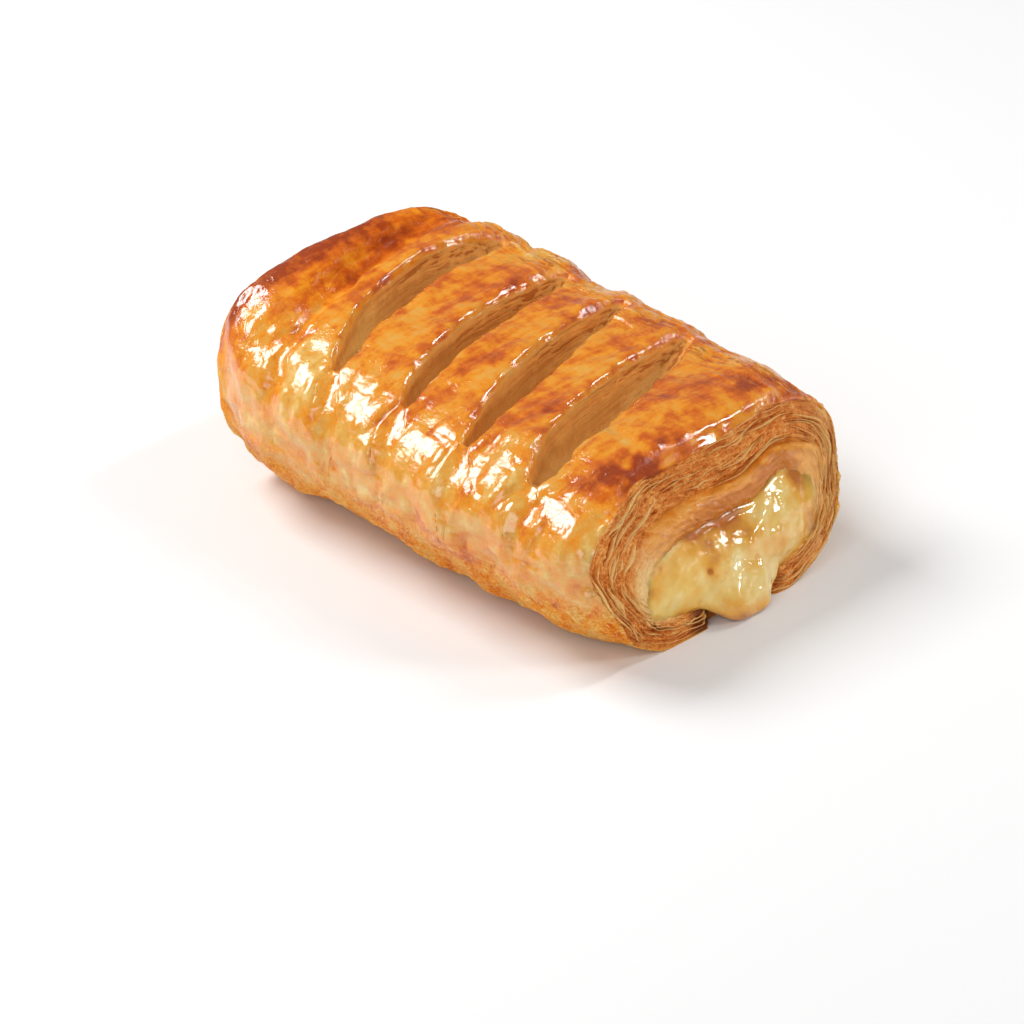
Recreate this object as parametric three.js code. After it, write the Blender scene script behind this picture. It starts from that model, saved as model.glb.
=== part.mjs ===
import * as THREE from "three";

// A folded roll of puff pastry, in millimetres: +X runs along it to the open end with the cheese, +Z is up.
const HALF_WIDTH = 45.5;
const HEIGHT_MIDDLE = 42.5;
const HEIGHT_RISE_FAR = 6.2;
const HEIGHT_DROP_NEAR = 2.2;
const WIDEST_HEIGHT = 25;
const UNDERSIDE_DEPTH = 27.5;
const POWER_TOP_LEFT = 2.75;
const POWER_TOP_LEFT_FAR = 3.7;
const POWER_TOP_RIGHT = 3.4;
const POWER_UNDERSIDE = 2.45;
const NARROWING_NEAR_LEFT = 0.17;
const NARROWING_NEAR_RIGHT = 0.145;
const NARROWING_FAR_LEFT = 0.15;
const NARROWING_FAR_RIGHT = 0.1;
const NARROWING_POWER = 7;

// The near end leans back from its foot to the crust, and the far end leans out over its foot.
const NEAR_FOOT_X = 64;
const NEAR_LEAN = 16.5;
const NEAR_LEAN_HEIGHT = 44;
const NEAR_LEAN_POWER = 1.5;
const NEAR_LEFT_FORWARD = 4;
const FORWARD_FROM_Y = -14;
const FORWARD_FULL_Y = -36;
const FORWARD_FROM_Z = 3;
const FORWARD_FULL_Z = 14;
const FAR_FOOT_X = -57;
const FAR_LEAN = 10;
const FAR_LEAN_HEIGHT = 30;
const CRUST_NEAR_X = 48.5;
const CRUST_FAR_X = -67;
const END_SHIFT_POWER = 8;

// Slanted cuts across the top: place along the roll, slant, bend, left and right ends, half width and depth.
const CUTS = [
  { x: -56, slant: -0.17, bend: 0.003, left: -34, right: 28, half: 2.4, depth: 2.2 },
  { x: -43.2, slant: -0.21, bend: 0.005, left: -33.5, right: 35, half: 4.8, depth: 9.5 },
  { x: -18.8, slant: -0.22, bend: 0.002, left: -33, right: 36, half: 3.3, depth: 10 },
  { x: 2.6, slant: -0.26, bend: 0.001, left: -34.5, right: 36, half: 3.8, depth: 10 },
  { x: 24.6, slant: -0.24, bend: 0, left: -35, right: 36, half: 5, depth: 10 },
];
const CUT_CLOSED_HALF = 0.9;
const CUT_SHAPE = [
  [-0.78, 0.72],
  [-0.34, 1],
  [0.34, 1],
  [0.78, 0.72],
];
const STRIP_STEPS = 4;
const STRIP_PUFF = 2.8;
const STRIP_EDGE_POWER = 4;
const SIDE_PUFF = 0.4;

// Slow unevenness of the baked dough: waves along and around the roll.
const LUMP = 0.45;
const LUMP_WAVES = [
  { along: 0.13, around: 2 },
  { along: 0.29, around: -3 },
];
const LUMP_FROM_HEIGHT = 7;

// Ledge of flakes low along the left side.
const LEDGE_HEIGHT = 8.5;
const LEDGE_BAND = 2.6;
const LEDGE_DEPTH = 1.3;
const LEDGE_SWAY = 1.5;
const LEDGE_SWAY_ALONG = 0.09;
const LEDGE_BREAK_ALONG = 0.17;

// Folded layers that show at the ends: place between the crust and the mouth, and how far each stands out.
const LAYERS_NEAR = [
  [0.09, 0.9],
  [0.18, -0.9],
  [0.29, 0.9],
  [0.4, -0.9],
  [0.5, 0.8],
  [0.6, -2],
  [0.73, 1.2],
  [0.88, 0.9],
];
const LAYERS_FAR = [
  [0.12, 0.9],
  [0.28, -0.9],
  [0.45, 0.9],
  [0.62, -1.4],
  [0.82, 0.8],
];
const LAYER_FULL_WALL = 16;
const MOUTH_INSET = 1.5;

// The burnt notch in the foot of the near end, where the cheese runs out.
const NOTCH_LEFT = -8;
const NOTCH_RIGHT = 19;
const NOTCH_EDGE = 4;
const NOTCH_FULL_HEIGHT = 6;
const NOTCH_TOP = 14;
const NOTCH_DEPTH = 3.2;

// The hollow inside the fold, which the cheese fills from end to end.
const HOLLOW_Y = 4.5;
const HOLLOW_Z = 14.5;
const HOLLOW_HALF_WIDTH = 27;
const HOLLOW_HALF_HEIGHT = 8.2;
const HOLLOW_POWER = 2.5;
const HOLLOW_SHEAR = 0.35;
const CHEESE_GAP = 0.35;
const CHEESE_BULGE_FAR = 2.5;
const CHEESE_BULGE_NEAR = 5;
const CHEESE_LUMP = 0.5;
const TONGUE_LEFT = -4;
const TONGUE_RIGHT = 15;
const TONGUE_X = 68;
const TONGUE_EDGE = 4;
const TONGUE_BACK_GAP = 0.9;

// Rings of the cheese outside the mouth: share of the hollow's outline and part of the bulge, and for the
// tongue the part of the way from its back to its tip and its height over the floor.
const CHEESE_MOUTH = [
  { share: 0.97, out: 0.4, tongueOut: 0, tongueHeight: 5.6 },
  { share: 0.93, out: 0.7, tongueOut: 0.03, tongueHeight: 0.4 },
  { share: 0.86, out: 0.9, tongueOut: 0.88, tongueHeight: 0.4 },
  { share: 0.76, out: 1, tongueOut: 1, tongueHeight: 2.4 },
  { share: 0.6, out: 1.1, tongueOut: 0.92, tongueHeight: 5.5 },
  { share: 0.36, out: 1.15, tongueOut: 0.7, tongueHeight: 9.5 },
];
const CHEESE_NOSE_X = 65;

const AROUND = 72;
const AROUND_CHEESE = 76;
const HOLLOW_STEPS = 6;
const EVEN_SPACING = 0.15;
const SLOPE_STEP = 0.02;

function mix(a, b, t) {
  return a + (b - a) * t;
}

function rise(from, to, value) {
  const t = THREE.MathUtils.clamp((value - from) / (to - from), 0, 1);
  return t * t * (3 - 2 * t);
}

// Reach of a rounded box of half side 1 in a direction: a higher power is squarer.
function boxReach(angle, power) {
  const across = Math.abs(Math.cos(angle)) ** power;
  const upright = Math.abs(Math.sin(angle)) ** power;
  return (across + upright) ** (-1 / power);
}

// Angles round the section, closer together on the flat top and underside.
function gridAngle(step, steps) {
  const turn = (2 * Math.PI * step) / steps;
  return turn + EVEN_SPACING * Math.sin(2 * turn);
}

// Plain outline of the roll at a place along it: y and z, flat where it rests.
function bodyOutline(angle, x) {
  const left = Math.cos(angle) < 0;
  const top = Math.sin(angle) > 0;
  const near = Math.max(0, x / NEAR_FOOT_X);
  const far = Math.max(0, x / CRUST_FAR_X);
  const nearNarrowing = left ? NARROWING_NEAR_LEFT : NARROWING_NEAR_RIGHT;
  const farNarrowing = left ? NARROWING_FAR_LEFT : NARROWING_FAR_RIGHT;
  const narrowing = nearNarrowing * near ** NARROWING_POWER + farNarrowing * far ** NARROWING_POWER;
  const height = HEIGHT_MIDDLE + HEIGHT_RISE_FAR * far ** 2 - HEIGHT_DROP_NEAR * near ** 2;
  const topPower = left ? mix(POWER_TOP_LEFT, POWER_TOP_LEFT_FAR, far ** 2) : POWER_TOP_RIGHT;
  const reach = boxReach(angle, top ? topPower : POWER_UNDERSIDE);
  const tall = top ? height - WIDEST_HEIGHT : UNDERSIDE_DEPTH;
  const y = HALF_WIDTH * (1 - narrowing) * Math.cos(angle) * reach;
  const z = WIDEST_HEIGHT + tall * Math.sin(angle) * reach;
  return [y, Math.max(0, z)];
}

// Depth of the notch in the near foot, full under the middle of the cheese.
function notch(y, z) {
  const leftEdge = rise(NOTCH_LEFT, NOTCH_LEFT + NOTCH_EDGE, y);
  const rightEdge = 1 - rise(NOTCH_RIGHT - NOTCH_EDGE, NOTCH_RIGHT, y);
  return NOTCH_DEPTH * leftEdge * rightEdge * (1 - rise(NOTCH_FULL_HEIGHT, NOTCH_TOP, z));
}

// The leaning face of the near end, whose left fold stands forward.
function nearFaceX(y, z) {
  const lean = NEAR_LEAN * (Math.max(0, z) / NEAR_LEAN_HEIGHT) ** NEAR_LEAN_POWER;
  const leftward = rise(FORWARD_FROM_Y, FORWARD_FULL_Y, y);
  const upward = rise(FORWARD_FROM_Z, FORWARD_FULL_Z, z);
  return NEAR_FOOT_X - lean + NEAR_LEFT_FORWARD * leftward * upward - notch(y, z);
}

// The face of the far end, tucked in at its foot.
function farFaceX(z) {
  const lean = Math.min(1, Math.max(0, z) / FAR_LEAN_HEIGHT);
  return FAR_FOOT_X - FAR_LEAN * Math.sin((lean * Math.PI) / 2);
}

function lump(angle, x) {
  return LUMP_WAVES.reduce((sum, { along, around }) => sum + LUMP * Math.sin(along * x + around * angle), 0);
}

// Depth of the broken groove above the ledge of flakes, on the left side only.
function ledge(y, z, x) {
  const height = LEDGE_HEIGHT + LEDGE_SWAY * Math.sin(LEDGE_SWAY_ALONG * x);
  const groove = Math.exp(-(((z - height) / LEDGE_BAND) ** 2));
  const broken = mix(0.2, 1, (1 + Math.sin(LEDGE_BREAK_ALONG * x)) / 2);
  return y < 0 ? LEDGE_DEPTH * groove * broken : 0;
}

// A point of the outside, pushed out of the section: along is 0 at the far crust edge and 1 at the near one.
function outsidePoint(angle, along, push) {
  const [yMiddle, zMiddle] = bodyOutline(angle, 0);
  const nearShift = (nearFaceX(yMiddle, zMiddle) - CRUST_NEAR_X) * along ** END_SHIFT_POWER;
  const farShift = (farFaceX(zMiddle) - CRUST_FAR_X) * (1 - along) ** END_SHIFT_POWER;
  const x = mix(CRUST_FAR_X, CRUST_NEAR_X, along) + nearShift + farShift;
  const [y, z] = bodyOutline(angle, x);
  const [yBefore, zBefore] = bodyOutline(angle - SLOPE_STEP, x);
  const [yAfter, zAfter] = bodyOutline(angle + SLOPE_STEP, x);
  const length = Math.hypot(yAfter - yBefore, zAfter - zBefore);
  const outY = (zAfter - zBefore) / length;
  const outZ = (yBefore - yAfter) / length;
  const out = (push + lump(angle, x) - ledge(yMiddle, zMiddle, x)) * rise(0, LUMP_FROM_HEIGHT, z);
  return [x, y + outY * out, Math.max(0, z + outZ * out)];
}

// How far a cut gapes at an angle round the section: 1 at its middle, 0 beyond its ends.
function gape(cut, angle) {
  const y = bodyOutline(angle, 0)[0];
  const middle = (cut.left + cut.right) / 2;
  const part = (y - middle) / (cut.right - middle);
  return Math.sin(angle) > 0 ? Math.sqrt(Math.max(0, 1 - part * part)) : 0;
}

// The outside from the far crust edge to the near one: puffed strips with the cuts between them.
function outsideColumn(angle) {
  const y = bodyOutline(angle, 0)[0];
  const span = CRUST_NEAR_X - CRUST_FAR_X;
  const points = [];
  const addStrip = (from, to, open) => {
    const puff = mix(SIDE_PUFF, STRIP_PUFF, open);
    for (let step = 0; step <= STRIP_STEPS; step += 1) {
      const part = step / STRIP_STEPS;
      const bow = 1 - Math.abs(2 * part - 1) ** STRIP_EDGE_POWER;
      points.push(outsidePoint(angle, mix(from, to, part), puff * (bow - 0.5)));
    }
  };
  let from = 0;
  let open = 0;
  CUTS.forEach((cut) => {
    open = gape(cut, angle);
    const place = cut.x + cut.slant * y + cut.bend * y * y;
    const centre = (place - CRUST_FAR_X) / span;
    const half = mix(CUT_CLOSED_HALF, cut.half, open) / span;
    addStrip(from, centre - half, open);
    CUT_SHAPE.forEach(([part, deep]) => {
      points.push(outsidePoint(angle, centre + half * part, -SIDE_PUFF / 2 - deep * cut.depth * open));
    });
    from = centre + half;
  });
  addStrip(from, 1, open);
  return points;
}

// Outline of the hollow, shrunk by a gap for the cheese in it.
function hollowOutline(angle, gap) {
  const reach = boxReach(angle, HOLLOW_POWER);
  const z = (HOLLOW_HALF_HEIGHT - gap) * Math.sin(angle) * reach;
  const y = (HOLLOW_HALF_WIDTH - gap) * Math.cos(angle) * reach;
  return [HOLLOW_Y + y + HOLLOW_SHEAR * z, HOLLOW_Z + z];
}

function nearMouthX(angle) {
  const [y, z] = hollowOutline(angle, 0);
  return nearFaceX(y, z) - MOUTH_INSET;
}

function farMouthX(angle) {
  const [, z] = hollowOutline(angle, 0);
  return farFaceX(z) + MOUTH_INSET;
}

// One end face from the crust edge in to the mouth, with its layers standing out by turns.
function endColumn(angle, edge, layers, faceX, side) {
  const [yMouth, zMouth] = hollowOutline(angle, 0);
  const [xEdge, yEdge, zEdge] = edge;
  const wall = Math.hypot(yMouth - yEdge, zMouth - zEdge);
  const share = Math.min(1, wall / LAYER_FULL_WALL);
  const slip = xEdge - faceX(yEdge, zEdge);
  return layers.map(([part, out]) => {
    const y = mix(yEdge, yMouth, part);
    const z = mix(zEdge, zMouth, part);
    return [faceX(y, z) + slip * (1 - part) + side * share * out, y, z];
  });
}

// All of the pastry at one angle: outside, near end, hollow and far end, which closes on the outside again.
function pastryColumn(angle) {
  const outside = outsideColumn(angle);
  const nearEnd = endColumn(angle, outside[outside.length - 1], LAYERS_NEAR, nearFaceX, 1);
  const farEnd = endColumn(angle, outside[0], LAYERS_FAR, (y, z) => farFaceX(z), -1);
  const [yMouth, zMouth] = hollowOutline(angle, 0);
  const hollow = [];
  for (let step = 0; step <= HOLLOW_STEPS; step += 1) {
    hollow.push([mix(nearMouthX(angle), farMouthX(angle), step / HOLLOW_STEPS), yMouth, zMouth]);
  }
  return [...outside, ...nearEnd, ...hollow, ...farEnd.reverse()];
}

// How much of the tongue of melted cheese there is at an angle: 1 where it runs down to the floor.
function tongue(angle) {
  const y = hollowOutline(angle, 0)[0];
  const leftEdge = rise(TONGUE_LEFT - TONGUE_EDGE, TONGUE_LEFT + TONGUE_EDGE, y);
  const rightEdge = 1 - rise(TONGUE_RIGHT - TONGUE_EDGE, TONGUE_RIGHT + TONGUE_EDGE, y);
  return Math.sin(angle) < 0 ? leftEdge * rightEdge : 0;
}

// The cheese at one angle, from its far pole along the hollow and out of the mouth to its near pole.
function cheeseColumn(angle) {
  const [y, z] = hollowOutline(angle, CHEESE_GAP);
  const run = tongue(angle);
  const xFar = farMouthX(angle);
  const xNear = nearMouthX(angle);
  const points = [];
  const addRing = (x, share) => points.push([x, mix(HOLLOW_Y, y, share), mix(HOLLOW_Z, z, share)]);
  addRing(xFar - CHEESE_BULGE_FAR, 0.35);
  addRing(xFar - CHEESE_BULGE_FAR, 0.68);
  addRing(xFar - CHEESE_BULGE_FAR / 2, 0.92);
  for (let step = 0; step <= HOLLOW_STEPS; step += 1) {
    addRing(mix(xFar, xNear, step / HOLLOW_STEPS), 1);
  }
  const tongueBack = NEAR_FOOT_X - NOTCH_DEPTH + TONGUE_BACK_GAP;
  CHEESE_MOUTH.forEach(({ share, out, tongueOut, tongueHeight }, ring) => {
    const wave = ring > 1 ? CHEESE_LUMP * share * Math.sin(3 * angle + 2 * ring) : 0;
    const tongueShare = (1 + share) / 2;
    points.push([
      mix(xNear + CHEESE_BULGE_NEAR * out, mix(tongueBack, TONGUE_X, tongueOut), run) + wave,
      mix(HOLLOW_Y, y, mix(share, tongueShare, run)),
      mix(mix(HOLLOW_Z, z, share), tongueHeight, run),
    ]);
  });
  return points;
}

// Faces of a closed grid of columns round the roll; poles close it where given, or else its ends meet.
function gridMesh(name, columns, poles, colour, roughness) {
  const around = columns.length;
  const rings = columns[0].length;
  const positions = columns.flat(2);
  const faces = [];
  const at = (column, ring) => (column % around) * rings + (ring % rings);
  const lastRing = poles.length ? rings - 1 : rings;
  for (let column = 0; column < around; column += 1) {
    for (let ring = 0; ring < lastRing; ring += 1) {
      const a = at(column, ring);
      const b = at(column, ring + 1);
      const c = at(column + 1, ring + 1);
      const d = at(column + 1, ring);
      faces.push(a, d, c, a, c, b);
    }
  }
  poles.forEach((pole, end) => {
    const tip = positions.length / 3;
    positions.push(...pole);
    for (let column = 0; column < around; column += 1) {
      const here = at(column, end ? rings - 1 : 0);
      const next = at(column + 1, end ? rings - 1 : 0);
      faces.push(tip, end ? here : next, end ? next : here);
    }
  });
  const geometry = new THREE.BufferGeometry();
  geometry.setAttribute("position", new THREE.Float32BufferAttribute(positions, 3));
  geometry.setIndex(faces);
  geometry.computeVertexNormals();
  const mesh = new THREE.Mesh(geometry, new THREE.MeshStandardMaterial({ color: colour, roughness }));
  mesh.name = name;
  return mesh;
}

const pastryColumns = Array.from({ length: AROUND }, (_, step) => pastryColumn(gridAngle(step, AROUND)));
const cheeseColumns = Array.from({ length: AROUND_CHEESE }, (_, step) =>
  cheeseColumn(gridAngle(step, AROUND_CHEESE)),
);
const farPole = [farFaceX(HOLLOW_Z) + MOUTH_INSET - CHEESE_BULGE_FAR, HOLLOW_Y, HOLLOW_Z];
const nearPole = [CHEESE_NOSE_X, HOLLOW_Y, HOLLOW_Z];

const roll = new THREE.Group();
roll.add(gridMesh("pastry", pastryColumns, [], 0xd98a3a, 0.35));
roll.add(gridMesh("cheese_filling", cheeseColumns, [farPole, nearPole], 0xe8d282, 0.3));

// The origin is under the middle of the whole roll, at the floor.
const box = new THREE.Box3().setFromObject(roll);
const middle = box.getCenter(new THREE.Vector3());
roll.children.forEach((mesh) => mesh.geometry.translate(-middle.x, -middle.y, -box.min.z));

export default roll;
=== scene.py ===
from itertools import product

import bpy
import numpy as np
from mathutils import Matrix, Vector


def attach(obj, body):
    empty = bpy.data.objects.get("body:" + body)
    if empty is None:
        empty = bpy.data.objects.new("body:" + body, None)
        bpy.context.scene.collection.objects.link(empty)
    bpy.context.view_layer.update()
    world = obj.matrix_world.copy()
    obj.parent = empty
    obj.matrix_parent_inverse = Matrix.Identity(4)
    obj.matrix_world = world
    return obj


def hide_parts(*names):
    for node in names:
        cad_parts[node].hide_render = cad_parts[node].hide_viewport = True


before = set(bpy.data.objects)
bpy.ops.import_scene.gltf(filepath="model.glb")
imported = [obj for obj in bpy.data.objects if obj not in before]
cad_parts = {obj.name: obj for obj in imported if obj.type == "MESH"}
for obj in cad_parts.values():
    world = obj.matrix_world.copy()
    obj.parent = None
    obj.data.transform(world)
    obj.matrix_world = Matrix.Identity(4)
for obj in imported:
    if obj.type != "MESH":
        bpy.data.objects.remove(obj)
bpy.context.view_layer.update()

MM = 0.001
# The solids are drawn around this point of the roll and then moved so that their box is centred.
DRAWN_CENTRE = np.array([0.24, 0.05, 0.0])
# Sides of the roll: the open end, and the other one
NEAR = 1.0
FAR = -1.0
# Random patterns: slopes and cells to pick from, and the rise of the hills
HILL_SLOPES = 256
HILL_RISE = 1.7
FLAKE_CELLS = 4096

# Outline of the roll, as in the solids
HALF_WIDTH = 45.5
HEIGHT_MIDDLE = 42.5
HEIGHT_RISE_FAR = 6.2
HEIGHT_DROP_NEAR = 2.2
WIDEST_HEIGHT = 25.0
UNDERSIDE_DEPTH = 27.5
POWER_TOP_LEFT = 2.75
POWER_TOP_LEFT_FAR = 3.7
POWER_TOP_RIGHT = 3.4
POWER_UNDERSIDE = 2.45
OUTLINE_SAMPLES = 6001
BASE_HEIGHT = 0.5
SHOULDER_HEIGHT = 30.0
SHOULDER_Y = 20.0
NARROWING_NEAR_LEFT = 0.17
NARROWING_NEAR_RIGHT = 0.145
NARROWING_FAR_LEFT = 0.15
NARROWING_FAR_RIGHT = 0.1
NARROWING_POWER = 7

# Both ends
NEAR_FOOT_X = 64.0
NEAR_LEAN = 16.5
NEAR_LEAN_HEIGHT = 44.0
NEAR_LEAN_POWER = 1.5
NEAR_LEFT_FORWARD = 4.0
FORWARD_Y = (-14.0, -36.0)
FORWARD_Z = (3.0, 14.0)
FAR_FOOT_X = -57.0
FAR_LEAN = 10.0
FAR_LEAN_HEIGHT = 30.0
CRUST_NEAR_X = 48.5
CRUST_FAR_X = -67.0
END_SHIFT_POWER = 8
NOTCH_LEFT = -8.0
NOTCH_RIGHT = 19.0
NOTCH_EDGE = 4.0
NOTCH_FULL_HEIGHT = 6.0
NOTCH_TOP = 14.0
NOTCH_DEPTH = 3.2
MOUTH_INSET = 1.5

# Cuts across the top: place, slant, bend, both ends, half width, depth, power of the rim before each
CUTS = (
    dict(x=-56.0, slant=-0.17, bend=0.003, left=-34.0, right=28.0, half=3.2, depth=1.6, rim=3),
    dict(x=-43.2, slant=-0.21, bend=0.005, left=-33.5, right=35.0, half=4.0, depth=9.5, rim=8),
    dict(x=-18.8, slant=-0.22, bend=0.002, left=-33.0, right=36.0, half=3.3, depth=10.0, rim=8),
    dict(x=2.6, slant=-0.26, bend=0.001, left=-34.5, right=36.0, half=3.8, depth=10.0, rim=8),
    dict(x=24.6, slant=-0.24, bend=0.0, left=-35.0, right=36.0, half=5.0, depth=10.0, rim=8),
)
CUT_CLOSED_HALF = 0.9
CUT_WALL_POWER = 5
STRIP_PUFF = 2.8
NEAR_RIM = 14.0
NEAR_RIM_LEFT = 3.0
NEAR_EDGE_FORWARD = 3.4
SIDE_PUFF = 0.4
SHOULDER_BULGE = 1.6

# The hollow with the cheese
HOLLOW_Y = 4.5
HOLLOW_Z = 14.5
HOLLOW_HALF_WIDTH = 27.0
HOLLOW_HALF_HEIGHT = 8.2
HOLLOW_POWER = 2.5
HOLLOW_SHEAR = 0.35
MOUTH_ROUNDING = 0.5
MOUTH_RISE = 4.5
MOUTH_RISE_Y = (13.0, 26.0)


def ease(start, end, value):
    """0 before start, 1 after end, and a smooth cubic step between them."""
    part = np.clip((value - start) / (end - start), 0.0, 1.0)
    return part * part * (3.0 - 2.0 * part)


def mix(a, b, part):
    """The value that lies a given part of the way from a to b."""
    return a + (b - a) * part


def lattice_pick(order, spot):
    """A fixed random number for each lattice corner: a shuffled order looked up along each axis."""
    count = len(order)
    pick = order[spot[..., 0] % count]
    pick = order[(pick + spot[..., 1]) % count]
    return order[(pick + spot[..., 2]) % count]


def hills(points, size, seed):
    """Smooth random hills from about -1 to 1.

    Each corner of a cubic lattice of the given size has a random slope; the eight slopes around a
    point are blended with a fifth-power ease.
    """
    rng = np.random.default_rng(seed)
    slopes = rng.normal(size=(HILL_SLOPES, 3))
    slopes /= np.linalg.norm(slopes, axis=1, keepdims=True)
    order = rng.permutation(HILL_SLOPES)
    place = points / size
    corner = np.floor(place).astype(int)
    part = place - corner
    eased = part ** 3 * (part * (part * 6.0 - 15.0) + 10.0)
    total = np.zeros(points.shape[:-1])
    for step in product((0, 1), repeat=3):
        pick = lattice_pick(order, corner + step)
        share = np.prod(np.where(np.array(step) > 0, eased, 1.0 - eased), axis=-1)
        total += share * ((part - step) * slopes[pick]).sum(axis=-1)
    return HILL_RISE * total


def flakes(points, size, seed):
    """Flat plates of a random mosaic: distances to a plate's middle and rim, and a random level for each.

    Each lattice cell holds one random point; a plate is what lies nearest to one of them, and the
    rim distance is the second nearest distance less the nearest.
    """
    rng = np.random.default_rng(seed)
    jitter = rng.random((FLAKE_CELLS, 3))
    level = rng.random(FLAKE_CELLS)
    order = rng.permutation(FLAKE_CELLS)
    place = points / size
    corner = np.floor(place).astype(int)
    nearest = np.full(points.shape[:-1], np.inf)
    second = np.full(points.shape[:-1], np.inf)
    plate = np.zeros(points.shape[:-1])
    for step in product((-1, 0, 1), repeat=3):
        spot = corner + step
        pick = lattice_pick(order, spot)
        gap = np.linalg.norm(spot + jitter[pick] - place, axis=-1)
        closer = gap < nearest
        second = np.where(closer, nearest, np.minimum(second, gap))
        plate = np.where(closer, level[pick], plate)
        nearest = np.where(closer, gap, nearest)
    return nearest, second - nearest, plate


def wrinkles(points, size, seed, width=0.13):
    """Thin wandering lines: 1 along the level lines of random hills, falling off on both sides."""
    return np.exp(-(hills(points, size, seed) / width) ** 2)


def stretch(points, x, y, z):
    """Points with each axis scaled: a pattern on them is drawn out along an axis that is scaled down."""
    return points * np.array([x, y, z])


def box_reach(angle, power):
    """Reach of a rounded box of half side 1 in a direction: (|cos|^p + |sin|^p)^(-1/p)."""
    return (np.abs(np.cos(angle)) ** power + np.abs(np.sin(angle)) ** power) ** (-1.0 / power)


def body_outline(angle, x):
    """Plain outline of the roll at a place along it: a rounded box, higher at the far end, flat below."""
    left = np.cos(angle) < 0
    top = np.sin(angle) > 0
    near = np.maximum(0.0, x / NEAR_FOOT_X)
    far = np.maximum(0.0, x / CRUST_FAR_X)
    near_narrowing = np.where(left, NARROWING_NEAR_LEFT, NARROWING_NEAR_RIGHT)
    far_narrowing = np.where(left, NARROWING_FAR_LEFT, NARROWING_FAR_RIGHT)
    narrowing = near_narrowing * near ** NARROWING_POWER + far_narrowing * far ** NARROWING_POWER
    height = HEIGHT_MIDDLE + HEIGHT_RISE_FAR * far ** 2 - HEIGHT_DROP_NEAR * near ** 2
    left_power = mix(POWER_TOP_LEFT, POWER_TOP_LEFT_FAR, far ** 2)
    power = np.where(top, np.where(left, left_power, POWER_TOP_RIGHT), POWER_UNDERSIDE)
    reach = box_reach(angle, power)
    tall = np.where(top, height - WIDEST_HEIGHT, UNDERSIDE_DEPTH)
    y = HALF_WIDTH * (1.0 - narrowing) * np.cos(angle) * reach
    z = WIDEST_HEIGHT + tall * np.sin(angle) * reach
    return y, np.maximum(0.0, z)


def notch(y, z):
    """Depth of the notch in the near foot where the cheese runs out."""
    sides = ease(NOTCH_LEFT, NOTCH_LEFT + NOTCH_EDGE, y) * ease(NOTCH_RIGHT, NOTCH_RIGHT - NOTCH_EDGE, y)
    return NOTCH_DEPTH * sides * ease(NOTCH_TOP, NOTCH_FULL_HEIGHT, z)


def near_face_x(y, z):
    """The near end leans back with a power of its height; its left fold stands forward."""
    lean = NEAR_LEAN * (np.maximum(0.0, z) / NEAR_LEAN_HEIGHT) ** NEAR_LEAN_POWER
    forward = NEAR_LEFT_FORWARD * ease(*FORWARD_Y, y) * ease(*FORWARD_Z, z)
    return NEAR_FOOT_X - lean + forward - notch(y, z)


def far_face_x(y, z):
    """The far end leans out over its foot along a quarter sine, the same at every y."""
    lean = np.minimum(1.0, np.maximum(0.0, z) / FAR_LEAN_HEIGHT)
    return FAR_FOOT_X - FAR_LEAN * np.sin(lean * np.pi / 2.0)


def hollow_outline(angle, gap):
    """Outline of the hollow inside the fold: a sheared rounded box, shrunk by a gap."""
    reach = box_reach(angle, HOLLOW_POWER)
    z = (HOLLOW_HALF_HEIGHT - gap) * np.sin(angle) * reach
    y = (HOLLOW_HALF_WIDTH - gap) * np.cos(angle) * reach
    return HOLLOW_Y + y + HOLLOW_SHEAR * z, HOLLOW_Z + z


def mouth_outline(angle, side):
    """Outline of the hollow's mouth; at the near end its top rises towards the right."""
    y, z = hollow_outline(angle, 0.0)
    if side > 0:
        z = z + MOUTH_RISE * ease(*MOUTH_RISE_Y, y) * ease(0.1, 0.8, np.sin(angle))
    return y, z


def around_angles(count, underside_share, right_share=1.0, shoulder_share=1.0):
    """Angles once round the section at even steps of arc, with shares for the underside and the right."""
    fine = np.linspace(0.0, 2.0 * np.pi, OUTLINE_SAMPLES)
    y, z = body_outline(fine, 0.0)
    share = np.where((y > 0) & (z < SHOULDER_HEIGHT), right_share, 1.0)
    share = np.where(z < BASE_HEIGHT, underside_share, share)
    share = np.where((y > SHOULDER_Y) & (z > SHOULDER_HEIGHT), shoulder_share, share)
    arc = np.hypot(np.diff(y), np.diff(z)) * share[1:]
    run = np.concatenate(([0.0], np.cumsum(arc)))
    return np.interp(np.linspace(0.0, run[-1], count + 1)[:-1], run, fine)


def grid_normals(points, wrap_rings):
    """Unit normals of a grid whose first axis runs round the roll and closes on itself."""
    around = np.roll(points, -1, axis=0) - np.roll(points, 1, axis=0)
    if wrap_rings:
        along = np.roll(points, -1, axis=1) - np.roll(points, 1, axis=1)
    else:
        along = np.gradient(points, axis=1)
    normal = np.cross(around, along)
    return normal / np.maximum(np.linalg.norm(normal, axis=-1, keepdims=True), 1e-9)


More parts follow.
